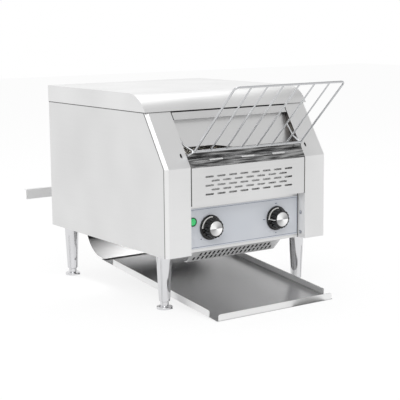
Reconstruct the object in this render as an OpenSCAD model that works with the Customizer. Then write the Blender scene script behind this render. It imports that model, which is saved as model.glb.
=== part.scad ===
// Conveyor toaster: a belt oven on four legs, with a wire feed rack, a discharge ramp and a catch tray.
// Millimetres. X runs to the right, the front faces -Y, and z = 0 is the surface the feet stand on.

/* [Housing] */
// Overall width, over the roof's side skirts
body_w = 368; // [340:1:420]
// Depth of the housing, from the front face to the rear panel
body_d = 425; // [400:1:460]
// Height of the underside above the feet
under_h = 103; // [98:1:108]
// Sheet thickness of the housing
sheet = 1.2; // [0.8:0.1:1.5]
// Height of the leaning part of the front, from the knee up to the roof's skirt
slope_h = 95; // [88:1:102]
// How far the leaning front goes back by the roof's edge
slope_run = 63; // [55:1:70]
// Depth of the roof's skirts, from the front's upper edge to the top of the roof
skirt_h = 32; // [28:1:38]
// Radius of the roof's front roll
roof_r = 62; // [40:1:68]
// Width of the corner bevel between side and front
bevel = 6.2; // [4:0.2:8]
// Width of each front flange, bevel included
flange_w = 53.6; // [50:0.2:58]

/* [Front panels] */
// How far the control panel stands back from the front face
recess = 20; // [16:1:24]
// Height of the control panel's opening
panel_h = 88; // [82:1:94]
// Height of the vent panel above it
vent_h = 67.5; // [62:0.5:74]
// Length of one vent slot
slot_len = 18; // [12:1:20]
// Width of one vent slot
slot_w = 3.2; // [2:0.2:4]
// Distance between the slots in a row
slot_pitch = 25.7; // [23:0.1:27]
// Distance between the slot rows
slot_row = 7.9; // [6.5:0.1:9]
// How far the leaning feed lip reaches up above the knee
lip_rise = 23; // [20:1:26]
// Height of the header strip over the feed opening
header_w = 12.4; // [10:0.2:16]
// Distance of each knob's axis from the side of the panel's opening
knob_inset = 54.4; // [50:0.2:60]
// Height of the knobs' axes above the underside
knob_rise = 42.5; // [38:0.5:47]
// Diameter of a knob's skirt
knob_d = 46; // [38:1:50]
// Diameter of a knob's metal cap
cap_d = 32; // [26:1:34]
// Height of a knob over the panel
knob_len = 19.5; // [17:0.5:23]
// Distance of the lamp's axis from the side of the panel's opening
lamp_inset = 16.4; // [14:0.2:20]
// Height of the lamp's axis above the underside
lamp_rise = 56; // [48:1:62]

/* [Conveyor] */
// How far the two conveyor shafts are below the knee
shaft_drop = 24; // [20:1:28]
// Distance of the front shaft behind the front face
shaft_front = 52.5; // [50:0.5:58]
// Distance of the rear shaft before the ramp
shaft_rear = 59.5; // [55:0.5:66]
// Diameter of the conveyor shafts
shaft_d = 12; // [10:1:14]
// Outer diameter of the belt's loop at each end
belt_d = 52; // [48:1:54]
// Gap between the belt and the cheek on each side
belt_inset = 13.5; // [8:0.5:20]
// Wire diameter of the belt's rods
belt_wire = 2.4; // [2:0.1:3]
// Rods round the belt
belt_rods = 56; // [40:2:64]
// Diameter of the quartz heater tubes
heater_d = 10; // [8:0.5:12]
// How far the upper heaters are below the roof's skirt
heater_drop = 51; // [45:1:55]

/* [Feed rack] */
// Length of the rack's slope
rack_len = 168.5; // [150:0.5:185]
// Angle of the rack over level
rack_angle = 44.4; // [38:0.1:50]
// Gap between the rack's outer rods and the cheeks
rack_inset = 11.6; // [10:0.2:16]
// Rods between the rack's outer ones
rack_rods = 6; // [4:1:9]
// Wire diameter of the rack's frame
rack_wire = 4; // [3:0.5:5]
// Wire diameter of the rack's rods
rod_wire = 3; // [2:0.5:3.5]

/* [Ramp and tray] */
// Radius of the ramp's curve
ramp_r = 65; // [60:1:70]
// Distance of the ramp's rear face before the rear panel
ramp_back = 48; // [42:1:56]
// How far the ramp reaches up above the shafts
ramp_rise = 12; // [0:1:20]
// How far the tray's rear edge lies behind the foot of the ramp's curve
tray_under = 3.8; // [2:0.2:8]
// How far the tray reaches out before the front face
tray_reach = 78; // [70:1:84]
// Slope of the tray
tray_tilt = 6.05; // [5.5:0.05:6.4]
// Height of the tray's flanges
tray_lip = 13; // [10:0.5:15]

/* [Legs and spacer] */
// Distance of the legs' axes from the sides
leg_inset = 30; // [26:1:34]
// Distance of the front legs behind the front face
leg_front = 53.5; // [48:0.5:60]
// Distance of the rear legs before the rear panel
leg_rear = 28; // [24:1:34]
// Diameter of a leg at its top
leg_top_d = 29.4; // [26:0.2:32]
// Diameter of a leg at its foot
leg_low_d = 20.8; // [18:0.2:24]
// Diameter of a foot's disc
foot_d = 30; // [26:1:34]
// Distance of the spacer's bar behind the rear panel
spacer_reach = 126; // [90:1:140]
// Height of the spacer's bar above the underside
spacer_rise = 37; // [22:1:57]
// Height of the spacer's bar itself
spacer_w = 21; // [16:1:26]

/* [Hidden] */

$fn = 48;
eps = 0.01;
gap = 0.3;          // clearance between pieces that move past each other
run_fit = 0.05;     // radial clearance of a shaft in its bore

// Places along Y: the origin is the middle of everything, from the rack's top bar to the spacer's bar.
rack_foot = 2.5;    // the rack's lower bar sits this far behind the front face
rack_out = rack_len * cos(rack_angle) + rack_wire / 2 - rack_foot;
spacer_lip = 9;
body_y = (rack_out - spacer_reach) / 2;
front = body_y - body_d / 2;
back = body_y + body_d / 2;

// Widths, from the sides inwards
half_w = body_w / 2;
side_x = half_w - sheet;            // outer face of a side panel, inside the roof's skirt
throat_x = half_w - flange_w;       // inner edge of a front flange
cheek_x = throat_x + 1.6;           // inner face of a cheek, just behind that edge
belt_w = 2 * (cheek_x - belt_inset);
leg_x = half_w - leg_inset;
knob_x = throat_x - knob_inset;
lamp_x = throat_x - lamp_inset;

// Heights, from the underside up
floor_h = under_h + sheet;          // upper face of the base plate
vent_low = under_h + panel_h;
vent_high = vent_low + vent_h;
knob_h = under_h + knob_rise;
lamp_h = under_h + lamp_rise;
spacer_h = under_h + spacer_rise;
knee_h = vent_high + 1.5;           // the front leans back from here up
seam_h = knee_h + slope_h;          // lower edge of the roof's skirts
body_h = seam_h + skirt_h;          // overall height
lip_high = knee_h + lip_rise;
shaft_h = knee_h - shaft_drop;
heater_high = seam_h - heater_drop;
header_gap = 2.6;                   // open joint between the header strip and the roof
header_low = seam_h - header_gap - header_w;
lean = slope_run / slope_h;
lean_angle = atan(lean);

// Places from front to back
front_shaft = front + shaft_front;
ramp_y = back - ramp_back;          // the ramp's upright face
rear_shaft = ramp_y - shaft_rear;
shaft_span = rear_shaft - front_shaft;

function face_y(z) = z <= knee_h ? front : front + (z - knee_h) * lean;

// ---- helpers ----

// A plate with its outline in the Y-Z plane, between two X positions
module yz_plate(x0, x1) {
    translate([x0, 0, 0]) rotate([90, 0, 90]) linear_extrude(x1 - x0) children();
}

// A straight round rod between two points
module rod(a, b, d) {
    v = b - a;
    l = norm(v);
    translate(a) rotate([0, acos(v[2] / l), atan2(v[1], v[0])]) cylinder(h = l, d = d, $fn = 24);
}

// A block given by its two corners
module block(a, b) {
    translate(a) cube(b - a);
}

// A prism between two level quadrilaterals, both counter-clockwise from above
module loft(z0, q0, z1, q1) {
    polyhedron(points = concat([for (p = q0) [p[0], p[1], z0]], [for (p = q1) [p[0], p[1], z1]]),
        faces = [[0, 1, 2, 3], [7, 6, 5, 4], [0, 4, 5, 1], [1, 5, 6, 2], [2, 6, 7, 3], [3, 7, 4, 0]]);
}

// A long form with round ends, for a hole or a rib in a plate that lies in the X-Z plane
module slot_form(x, y, z, l, w, deep) {
    translate([x, y, z]) rotate([-90, 0, 0]) {
        translate([-(l - w) / 2, -w / 2, 0]) cube([l - w, w, deep]);
        for (s = [-1, 1]) translate([s * (l - w) / 2, 0, 0]) cylinder(h = deep, d = w, $fn = 24);
    }
}

// The flat oval that a loop makes round two wheels, in the plane of the wheels
module oval(span, r) {
    circle(r = r);
    translate([span, 0]) circle(r = r);
    translate([0, -r]) square([span, 2 * r]);
}

module steel() { color([0.80, 0.80, 0.80]) children(); }
module polished() { color([0.62, 0.62, 0.63]) children(); }
module dark_metal() { color([0.30, 0.30, 0.31]) children(); }
module chrome() { color([0.86, 0.86, 0.88]) children(); }
module black_plastic() { color([0.06, 0.06, 0.06]) children(); }

// ---- housing ----

// Side outline of the roof, set in by a distance
module roof_outline(inset) {
    top = body_h - inset;
    r = roof_r - inset;
    edge_y = face_y(seam_h) - sheet * 1.2 + inset;           // the roof's front edge at the seam
    corner_y = edge_y + skirt_h * lean;                      // where the slope would meet the top
    tangent = roof_r * tan((90 - lean_angle) / 2);
    centre = [corner_y + tangent, body_h - roof_r];
    intersection() {
        union() {
            polygon([[back - inset, seam_h - 20], [back - inset, top], [centre[0], top],
                centre + r * [-sin(90 - lean_angle), cos(90 - lean_angle)],
                [edge_y, seam_h], [edge_y - 20 * lean, seam_h - 20]]);
            translate(centre) circle(r = r, $fn = 96);
        }
        translate([front - 20, seam_h - (inset > 0 ? 10 : 0)]) square([body_d + 40, skirt_h + 12]);
    }
}

module roof_cover() {
    steel() difference() {
        yz_plate(-half_w, half_w) roof_outline(0);
        yz_plate(-half_w + sheet, half_w - sheet) roof_outline(sheet);
    }
}

screw_hole = 3.4;
return_screw_y = front + recess / 2 + 1.5;
return_screws = [under_h + 11, under_h + 49];
rear_screws = [under_h + 30, under_h + 130, seam_h - 22];

rack_pin_h = lip_high + 35;         // the rack's hinge pins, in the cheeks behind the front flanges
rack_pin_y = face_y(rack_pin_h) + 11.5;
rivet_hole = 4;

// The left side panel: side, bevel, front flange and the return beside the control panel
module side_sheet() {
    top = seam_h + 12;
    t = sheet;
    function bevel_quad(z) = [[-side_x, face_y(z) + bevel], [-side_x + bevel, face_y(z)],
        [-side_x + bevel + 0.42 * t, face_y(z) + t], [-side_x + t, face_y(z) + bevel + 0.42 * t]];
    difference() {
        union() {
            yz_plate(-side_x, -side_x + t) polygon([[front + bevel, under_h], [back, under_h], [back, seam_h],
                [back - t - gap, seam_h], [back - t - gap, top], [face_y(top) + bevel, top],
                [front + bevel, knee_h]]);
            loft(under_h, bevel_quad(under_h), knee_h, bevel_quad(knee_h));
            loft(knee_h, bevel_quad(knee_h), seam_h, bevel_quad(seam_h));
            yz_plate(-side_x + bevel - eps, -throat_x) polygon([[front, under_h], [front + t, under_h],
                [front + t, knee_h], [face_y(seam_h) + t, seam_h], [face_y(seam_h), seam_h],
                [front, knee_h]]);
            yz_plate(-throat_x - t, -throat_x) polygon([[front, under_h], [front + recess + t, under_h],
                [front + recess + t, vent_low - t], [front, vent_low - t]]);
            block([-side_x, back - t, under_h], [-side_x + 12, back, seam_h]);
        }
        // rivet hole beside the feed opening
        translate([-throat_x - 11, face_y(lip_high - 3), lip_high - 3]) rotate([90 + lean_angle, 0, 0])
            cylinder(h = 12, d = rivet_hole, center = true);
        // screw holes: through the return into the cheek, and through the rear flange
        for (z = return_screws) translate([-throat_x, return_screw_y, z]) rotate([0, 90, 0])
            cylinder(h = 6, d = screw_hole, center = true);
        for (z = rear_screws) translate([-side_x + 6, back, z]) rotate([90, 0, 0])
            cylinder(h = 6, d = screw_hole, center = true);
    }
}

module side_panel_left() { steel() side_sheet(); }
module side_panel_right() { steel() mirror([1, 0, 0]) side_sheet(); }

arm_x = half_w - 84;
arm_t = 2;
spacer_screw_x = arm_x + 13;
gland_x = -side_x + 24.8;
gland_h = under_h + 25;
gland_d = 16;
rear_in = back - sheet;             // outer face of the rear panel
rear_y = rear_in - sheet;           // its inner face
slots = floor((2 * throat_x - 50) / slot_pitch);    // vent slots in a full row

module rear_panel() {
    steel() difference() {
        block([-side_x + sheet + gap, rear_y, floor_h], [side_x - sheet - gap, rear_in, seam_h + 8]);
        for (row = [0 : 2], i = [0 : slots - 1])
            slot_form((i - (slots - 1) / 2) * slot_pitch, rear_y - 1, seam_h - 55 + row * 2 * slot_row,
                slot_len, slot_w, 4);
        translate([gland_x, rear_y - 1, gland_h]) rotate([-90, 0, 0]) cylinder(h = 4, d = gland_d);
        for (x = [-side_x + 6, side_x - 6], z = rear_screws)
            translate([x, rear_y - 1, z]) rotate([-90, 0, 0]) cylinder(h = 4, d = screw_hole, $fn = 24);
        for (x = [-spacer_screw_x, spacer_screw_x])
            translate([x, rear_y - 1, spacer_h + spacer_w / 2]) rotate([-90, 0, 0])
                cylinder(h = 4, d = screw_hole, $fn = 24);
    }
}

chute_front = ramp_y - 92;          // front edge of the discharge opening in the base
chute_back = back - ramp_back + 3;

module base_plate() {
    steel() difference() {
        block([-side_x + sheet + gap, front + recess + sheet + gap, under_h],
            [side_x - sheet - gap, rear_y - gap, floor_h]);
        block([-cheek_x, chute_front, under_h - 1], [cheek_x, chute_back, floor_h + 1]);
        for (x = [-leg_x, leg_x], y = [front + leg_front, back - leg_rear])
            translate([x, y, under_h - 1]) cylinder(h = 4, d = 8.4);
    }
}

// ---- conveyor channel ----

wheel_r = belt_d / 2 - belt_wire - 0.4;
bush_d = shaft_d + 4;
upper_y = [for (i = [0 : 3]) front_shaft + 42 + i * (shaft_span - 85) / 3];
lower_y = [for (i = [0 : 2]) front_shaft + 62 + i * (shaft_span - 145) / 2];
lower_heater_h = shaft_h + 2;
heater_hole = heater_d + 0.6;

// One cheek: it carries the shafts, the heaters and a pin of the rack
module cheek() {
    top = seam_h - 2;
    difference() {
        yz_plate(-cheek_x - sheet, -cheek_x) polygon([[front + sheet + gap, floor_h],
            [rear_y - 12, floor_h], [rear_y - 12, top], [face_y(top) + sheet + gap + 1, top],
            [front + sheet + gap, knee_h]]);
        for (y = [front_shaft, rear_shaft])
            translate([-cheek_x, y, shaft_h]) rotate([0, 90, 0]) cylinder(h = 6, d = bush_d, center = true);
        for (y = upper_y)
            translate([-cheek_x, y, heater_high]) rotate([0, 90, 0])
                cylinder(h = 6, d = heater_hole, center = true);
        for (y = lower_y)
            translate([-cheek_x, y, lower_heater_h]) rotate([0, 90, 0])
                cylinder(h = 6, d = heater_hole, center = true);
        translate([-cheek_x, rack_pin_y, rack_pin_h]) rotate([0, 90, 0])
            cylinder(h = 6, d = rod_wire + 2 * run_fit, center = true, $fn = 24);
        for (z = return_screws) translate([-cheek_x, return_screw_y, z]) rotate([0, 90, 0])
            cylinder(h = 6, d = screw_hole, center = true);
    }
}

module cheek_left() { dark_metal() cheek(); }
module cheek_right() { dark_metal() mirror([1, 0, 0]) cheek(); }

// A strip that lies in the leaning front, between two heights, set back from its face
module leaning_strip(z0, z1, x, setback) {
    yz_plate(-x, x) polygon([[face_y(z0) + setback, z0], [face_y(z1) + setback, z1],
        [face_y(z1) + setback + sheet, z1], [face_y(z0) + setback + sheet, z0]]);
}

header_d = 12.5;                    // depth of the header strip's flange

module header_strip() {
    y = face_y(header_low);
    x = throat_x - 1.5;
    steel() {
        leaning_strip(header_low, seam_h - header_gap, x, 0.6);
        // flange turned back over the opening; its wider part reaches to the cheeks
        block([-x, y + 0.6, header_low], [x, y + header_d, header_low + sheet]);
        block([-cheek_x + gap, y + 2 * sheet + gap, header_low],
            [cheek_x - gap, y + header_d, header_low + sheet]);
    }
}

lip_rib_x = throat_x - 59.4;
lip_rib_h = lip_high - 13;
lip_rib_out = 0.8;

module feed_lip() {
    polished() {
        leaning_strip(vent_high + gap, lip_high, throat_x - gap, 0);
        // upper edge folded back over the belt's front
        block([-throat_x + gap, face_y(lip_high), lip_high - sheet],
            [throat_x - gap, face_y(lip_high) + 7, lip_high]);
        // three pressed ribs
        for (x = [-lip_rib_x, 0, lip_rib_x]) translate([x, face_y(lip_rib_h), lip_rib_h])
            rotate([-lean_angle, 0, 0]) slot_form(0, -lip_rib_out, 0, 30, 3, lip_rib_out + sheet / 2);
    }
}

module vent_panel() {
    x = throat_x - gap;
    mid = (vent_low + vent_high) / 2;
    deep = 10;
    steel() difference() {
        union() {
            block([-x, front, vent_low], [x, front + sheet, vent_high]);
            block([-x, front, vent_low], [x, front + recess + sheet, vent_low + sheet]);
            block([-x, front + sheet, vent_high - sheet], [x, front + deep, vent_high]);
            // flange turned down behind the slots, open at its lower edge
            block([-x, front + deep - sheet, mid - 2 * slot_row - slot_w], [x, front + deep, vent_high]);
        }
        for (row = [-2 : 2]) {
            count = row % 2 == 0 ? slots : slots - 1;
            for (i = [0 : count - 1])
                slot_form((i - (count - 1) / 2) * slot_pitch, front - 1, mid + 0.4 + row * slot_row,
                    slot_len, slot_w, 4);
        }
    }
}

// ---- control box ----

panel_y = front + recess;           // front face of the control panel
panel_x = throat_x - gap;
shaft_hole = 8;
lamp_d = 12;
label_t = 0.4;

module panel_holes(y, deep) {
    for (s = [-1, 1]) translate([s * knob_x, y - 1, knob_h]) rotate([-90, 0, 0])
        cylinder(h = deep, d = shaft_hole);
    translate([-lamp_x, y - 1, lamp_h]) rotate([-90, 0, 0]) cylinder(h = deep, d = lamp_d);
}

module control_panel() {
    top = vent_low - gap;
    steel() difference() {
        union() {
            block([-panel_x, panel_y, under_h], [panel_x, panel_y + sheet, top]);
            for (s = [-1, 1]) mirror([s < 0 ? 1 : 0, 0, 0])
                block([panel_x - sheet, panel_y, under_h + sheet + gap], [panel_x, panel_y + 12, top]);
        }
        panel_holes(panel_y, 5);
    }
}

module control_label() {
    color([0.75, 0.77, 0.82]) difference() {
        block([-panel_x + 0.5, panel_y - label_t, under_h + 6], [panel_x - 0.5, panel_y, vent_low - 8]);
        panel_holes(panel_y - label_t, 3);
    }
}

box_d = 98;                         // depth of the control box
cover_back = front + box_d;
fan_size = 80;
fan_depth = 25;
fan_h = floor_h + fan_size / 2 + 1;
fan_y = cover_back - sheet - fan_depth;
fan_bore = 75;
hub_d = 28;
hub_len = 17.5;
cover_low = fan_h + fan_size / 2 + 7.3;     // under face of the control box's cover

module control_cover() {
    x = cheek_x - gap;
    steel() difference() {
        union() {
            block([-x, front + recess + sheet + gap, cover_low], [x, cover_back, cover_low + sheet]);
            block([-x, cover_back - sheet, floor_h], [x, cover_back, cover_low + sheet]);
        }
        translate([0, cover_back - 3, fan_h]) rotate([-90, 0, 0]) cylinder(h = 6, d = fan_bore);
    }
}

module fan_frame() {
    black_plastic() difference() {
        union() {
            difference() {
                block([-fan_size / 2, fan_y, fan_h - fan_size / 2],
                    [fan_size / 2, fan_y + fan_depth, fan_h + fan_size / 2]);
                translate([0, fan_y - 1, fan_h]) rotate([-90, 0, 0])
                    cylinder(h = fan_depth + 2, d = fan_bore);
            }
            // spider that carries the hub's bearing
            for (a = [45, 135]) translate([0, fan_y + fan_depth - 2, fan_h]) rotate([0, a, 0])
                block([-fan_bore / 2 - 1, -1, -2], [fan_bore / 2 + 1, 2, 2]);
            translate([0, fan_y + fan_depth - 3, fan_h]) rotate([-90, 0, 0]) cylinder(h = 3, d = hub_d - 2);
        }
        translate([0, fan_y - 1, fan_h]) rotate([-90, 0, 0])
            cylinder(h = fan_depth + 4, d = 4 + 2 * run_fit, $fn = 24);
    }
}

module fan_rotor() {
    black_plastic() translate([0, fan_y + 3, fan_h]) rotate([-90, 0, 0]) {
        cylinder(h = hub_len, d = hub_d);
        cylinder(h = fan_depth - 3, d = 4, $fn = 24);
        for (a = [0 : 45 : 315]) rotate([0, 0, a]) translate([13, 0, 8.5]) rotate([38, 0, 0])
            translate([0, -8, -0.8]) cube([fan_bore / 2 - 15, 16, 1.6]);
    }
}

switch_d = 38;
switch_y = panel_y + sheet;
spindle_d = 6;

// The body behind a knob, with the bore that its spindle turns in
module switch_body(x, long) {
    translate([x, switch_y, knob_h]) rotate([-90, 0, 0]) difference() {
        union() {
            cylinder(h = 6, d = 14);
            translate([0, 0, 6]) cylinder(h = long, d = switch_d);
            translate([0, 0, 6 + long]) cylinder(h = 4, d = 22);
        }
        translate([0, 0, -1]) cylinder(h = 22, d = spindle_d + 2 * run_fit, $fn = 32);
    }
}

module heat_switch() { color([0.85, 0.83, 0.76]) switch_body(knob_x, 34); }
module speed_regulator() { color([0.20, 0.22, 0.26]) switch_body(-knob_x, 22); }

knob_clear = 1;                     // air between a knob's skirt and the label
knob_y = panel_y - label_t - knob_clear;
grip_d = 36;
skirt_t = 4;
flutes = 16;

// Outline of a knob's grip, seen along its axis
module grip_outline() {
    circle(d = grip_d - 2, $fn = 72);
    for (a = [0 : flutes - 1]) rotate((a + 0.5) * 360 / flutes) translate([grip_d / 2 - 1.6, 0])
        circle(d = 3.2, $fn = 24);
}

module knob(x, turn) {
    tall = knob_len - 1.5;
    bore = tall - 3.5;
    translate([x, knob_y, knob_h]) rotate([90, 0, 0]) rotate([0, 0, turn]) difference() {
        union() {
            cylinder(h = skirt_t, d1 = knob_d, d2 = knob_d - 5, $fn = 72);
            translate([0, 0, skirt_t - 1]) linear_extrude(tall - skirt_t + 1) grip_outline();
            // raised pointer on the skirt
            translate([grip_d / 2 - 2.5, -1.2, 1]) cube([(knob_d - grip_d) / 2 + 1, 2.4, skirt_t]);
        }
        translate([0, 0, -1]) cylinder(h = bore + 1, d = spindle_d, $fn = 32);
    }
}

module knob_cap(x) {
    translate([x, knob_y - knob_len + 1.5, knob_h]) rotate([90, 0, 0]) {
        cylinder(h = 1, d = cap_d, $fn = 72);
        cylinder(h = 1.5, d = cap_d - 2, $fn = 72);
    }
}

module spindle(x) {
    translate([x, knob_y - knob_len + 5, knob_h]) rotate([-90, 0, 0])
        cylinder(h = knob_len - 5 + knob_clear + label_t + sheet + 18, d = spindle_d, $fn = 32);
}

heat_turn = 180;                    // pointer at nine o'clock, the off position
speed_turn = 0;                     // pointer at three o'clock

module heat_knob() { black_plastic() knob(knob_x, heat_turn); }
module heat_knob_cap() { color([0.88, 0.88, 0.88]) knob_cap(knob_x); }
module heat_knob_shaft() { chrome() spindle(knob_x); }
module speed_knob() { black_plastic() knob(-knob_x, speed_turn); }
module speed_knob_cap() { color([0.88, 0.88, 0.88]) knob_cap(-knob_x); }
module speed_knob_shaft() { chrome() spindle(-knob_x); }

bezel_d = 16.5;
bezel_t = 1.5;

module lamp_body() {
    color([0.10, 0.10, 0.10]) translate([-lamp_x, panel_y - label_t, lamp_h]) rotate([-90, 0, 0]) {
        difference() {
            union() {
                translate([0, 0, -bezel_t]) cylinder(h = bezel_t, d = bezel_d);
                cylinder(h = 24, d = lamp_d - 0.2);
            }
            translate([0, 0, -bezel_t - 1]) cylinder(h = 2, d = bezel_d - 3);
            translate([0, 0, -bezel_t]) cylinder(h = bezel_t + 4, d = lamp_d - 2);
        }
    }
}

module lamp_lens() {
    color([0.10, 0.75, 0.30]) translate([-lamp_x, panel_y - label_t, lamp_h]) rotate([90, 0, 0]) {
        translate([0, 0, -3.9]) cylinder(h = 3.9 + bezel_t - 1, d = lamp_d - 2.1);
        intersection() {
            translate([0, 0, bezel_t - 1]) cylinder(h = 4, d = bezel_d - 3.2);
            translate([0, 0, -7]) sphere(r = 11, $fn = 64);
        }
    }
}

// ---- guard under the controls ----

guard_left = -throat_x + 17.4;
guard_right = throat_x - 42.4;
guard_drop = 21;
guard_pitch = 9.75;
guard_rows = [[22, 9.2], [11.5, 21.2]];     // each row's start from the left and place down the slope

module lower_guard() {
    y0 = panel_y + 1;
    z0 = under_h - gap;
    steel() difference() {
        yz_plate(guard_left, guard_right) polygon([[y0, z0], [y0 + guard_drop, z0 - guard_drop],
            [y0 + guard_drop + 7, z0 - guard_drop], [y0 + guard_drop + 7, z0 - guard_drop + sheet],
            [y0 + guard_drop + 0.5, z0 - guard_drop + sheet], [y0 + sheet * 2.41, z0 - sheet],
            [y0 + 14, z0 - sheet], [y0 + 14, z0]]);
        for (row = guard_rows, x = [guard_left + row[0] : guard_pitch : guard_right - row[0] / 2 - 6])
            translate([x, y0 + row[1] * cos(45), z0 - row[1] * sin(45)]) rotate([-45, 0, 0])
                block([-2.1, -4.6, -4], [2.1, 4.6, 4]);
    }
}

// ---- heating ----

shield_x = cheek_x - gap;
shield_lean = 0.448;

// The sheet that leans from the header strip down towards the lip, cut higher on the left
module feed_shield() {
    t = sheet;
    z1 = header_low - gap;
    y1 = face_y(header_low) + header_d - 1.6;
    z0 = lip_high + 1.5;
    y0 = y1 - shield_lean * (z1 - z0);
    cut = 6.5;
    polished() difference() {
        yz_plate(-shield_x, shield_x) polygon([[y0, z0], [y1, z1], [y1 + 1.1 * t, z1],
            [y0 + shield_lean * t + 1.1 * t, z0 + t], [y0 + 9, z0 + t], [y0 + 9, z0]]);
        translate([0, y0 + 20, 0]) rotate([90, 0, 0]) linear_extrude(40)
            polygon([[-shield_x - 1, z0 - 1], [-2, z0 - 1], [-50, z0 + cut], [-shield_x - 1, z0 + cut]]);
    }
}

reflector_rise = 22;                // above the upper heaters
reflector_side = 24;                // behind the last upper heater
reflector_drop = 14;                // below the lower heaters
reflector_half = 18;                // before and behind the lower heaters

module upper_reflector() {
    z = heater_high + reflector_rise;
    y0 = face_y(header_low) + header_d - 2;
    y1 = upper_y[3] + reflector_side;
    polished() {
        block([-cheek_x + gap, y0, z], [cheek_x - gap, y1, z + sheet]);
        block([-cheek_x + gap, y1 - sheet, heater_high - 12], [cheek_x - gap, y1, z + sheet]);
    }
}

module lower_reflector() {
    z = lower_heater_h - reflector_drop;
    y0 = lower_y[0] - reflector_half;
    y1 = lower_y[2] + reflector_half;
    polished() {
        block([-cheek_x + gap, y0, z], [cheek_x - gap, y1, z + sheet]);
        for (y = [y0, y1 - sheet]) block([-cheek_x + gap, y, z], [cheek_x - gap, y + sheet, z + 9]);
    }
}

tube_x = cheek_x + sheet + 4;

module heater_tube(y, z) {
    translate([-tube_x, y, z]) rotate([0, 90, 0]) cylinder(h = 2 * tube_x, d = heater_d);
}

module upper_heaters() { color([0.92, 0.80, 0.72]) for (y = upper_y) heater_tube(y, heater_high); }
module lower_heaters() { color([0.92, 0.80, 0.72]) for (y = lower_y) heater_tube(y, lower_heater_h); }

// A ceramic cap on each tube end, outside the cheek
module heater_cap(y, z) {
    for (s = [-1, 1]) mirror([s < 0 ? 1 : 0, 0, 0])
        translate([cheek_x + sheet, y, z]) rotate([0, 90, 0]) difference() {
            cylinder(h = 14, d = heater_d + 6);
            translate([0, 0, -1]) cylinder(h = 5.2, d = heater_d);
        }
}

module heater_caps() {
    color([0.93, 0.91, 0.86]) {
        for (y = upper_y) heater_cap(y, heater_high);
        for (y = lower_y) heater_cap(y, lower_heater_h);
    }
}

// ---- belt and drive ----

belt_mid = belt_d / 2 - belt_wire / 2 - 0.2;
belt_len = 2 * shaft_span + 2 * PI * belt_mid;

// A point on the belt's middle line, s along it from the top over the front shaft
function belt_point(s) =
    s < shaft_span ? [front_shaft + s, shaft_h + belt_mid] :
    s < shaft_span + PI * belt_mid ?
        let (a = 90 - (s - shaft_span) / belt_mid * 180 / PI)
            [rear_shaft + belt_mid * cos(a), shaft_h + belt_mid * sin(a)] :
    s < 2 * shaft_span + PI * belt_mid ?
        [rear_shaft - (s - shaft_span - PI * belt_mid), shaft_h - belt_mid] :
        let (a = -90 - (s - 2 * shaft_span - PI * belt_mid) / belt_mid * 180 / PI)
            [front_shaft + belt_mid * cos(a), shaft_h + belt_mid * sin(a)];

module conveyor_belt() {
    strips = 7;
    strip_w = 3;
    color([0.55, 0.55, 0.56]) {
        for (i = [0 : strips - 1]) {
            x = -belt_w / 2 + i * (belt_w - strip_w) / (strips - 1);
            yz_plate(x, x + strip_w) translate([front_shaft, shaft_h]) difference() {
                oval(shaft_span, belt_d / 2);
                oval(shaft_span, belt_d / 2 - belt_wire - 0.4);
            }
        }
        for (i = [0 : belt_rods - 1]) {
            p = belt_point((i + 0.5) * belt_len / belt_rods);
            rod([-belt_w / 2, p[0], p[1]], [belt_w / 2, p[0], p[1]], belt_wire);
        }
    }
}

shaft_left = -cheek_x - 8;
chain_x = cheek_x + sheet + 37.8;
chain_w = 5;
chain_end = chain_x + chain_w + 0.5;

module drive_shaft() {
    chrome() rod([shaft_left, rear_shaft, shaft_h], [chain_end, rear_shaft, shaft_h], shaft_d);
}

module idler_shaft() {
    chrome() rod([shaft_left, front_shaft, shaft_h], [cheek_x + 8, front_shaft, shaft_h], shaft_d);
}

module belt_wheels(y) {
    far = belt_w / 2 - 40.5;
    for (x = [-far, 0, far]) translate([x - 3, y, shaft_h]) rotate([0, 90, 0]) difference() {
        union() {
            cylinder(h = 6, r = wheel_r - 2);
            for (a = [0 : 30 : 330]) rotate([0, 0, a]) translate([wheel_r - 4, -2, 0]) cube([3.6, 4, 6]);
            translate([0, 0, -4]) cylinder(h = 14, d = shaft_d + 8);
        }
        translate([0, 0, -5]) cylinder(h = 16, d = shaft_d);
    }
}

module drive_wheels() { dark_metal() belt_wheels(rear_shaft); }
module idler_wheels() { dark_metal() belt_wheels(front_shaft); }

module shaft_bushes() {
    color([0.72, 0.52, 0.28])
        for (s = [-1, 1], y = [front_shaft, rear_shaft]) mirror([s < 0 ? 1 : 0, 0, 0])
            translate([cheek_x, y, shaft_h]) rotate([0, 90, 0]) difference() {
                union() {
                    cylinder(h = sheet, d = bush_d);
                    translate([0, 0, sheet]) cylinder(h = 4, d = bush_d + 8);
                }
                translate([0, 0, -1]) cylinder(h = 8, d = shaft_d + 2 * run_fit);
            }
}

motor_y = rear_shaft - belt_d - 3;  // axis of the gear case's output shaft, clear of the rear shaft's wheels
motor_h = floor_h + 55.8;
output_d = 8;
gear_size = [24, 60, 52];           // the gear case, with its output shaft set back and up in it
gear_front = 42;
gear_down = 34;
motor_size = [32, 58, 42];          // the motor before it
motor_can_d = 24;

module gearmotor() {
    x0 = cheek_x + sheet;
    y1 = motor_y - gear_front;          // where the motor meets the gear case
    z1 = motor_h - 9;                   // the motor's axis
    color([0.45, 0.46, 0.48]) difference() {
        union() {
            translate([x0, motor_y - gear_front, motor_h - gear_down]) cube(gear_size);
            translate([x0, y1 - motor_size[1] + eps, z1 - motor_size[2] / 2]) cube(motor_size);
            translate([x0 + motor_size[0] / 2, y1 - motor_size[1] / 2, z1]) rotate([90, 0, 0])
                cylinder(h = motor_size[1] / 2 + 5, d = motor_can_d);
            translate([x0 + gear_size[0], motor_y, motor_h]) rotate([0, 90, 0])
                cylinder(h = 6, d = output_d + 10);
        }
        translate([x0 + gear_size[0] - 10, motor_y, motor_h]) rotate([0, 90, 0])
            cylinder(h = 30, d = output_d + 2 * run_fit, $fn = 32);
    }
}

sprocket_r = 14;

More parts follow.
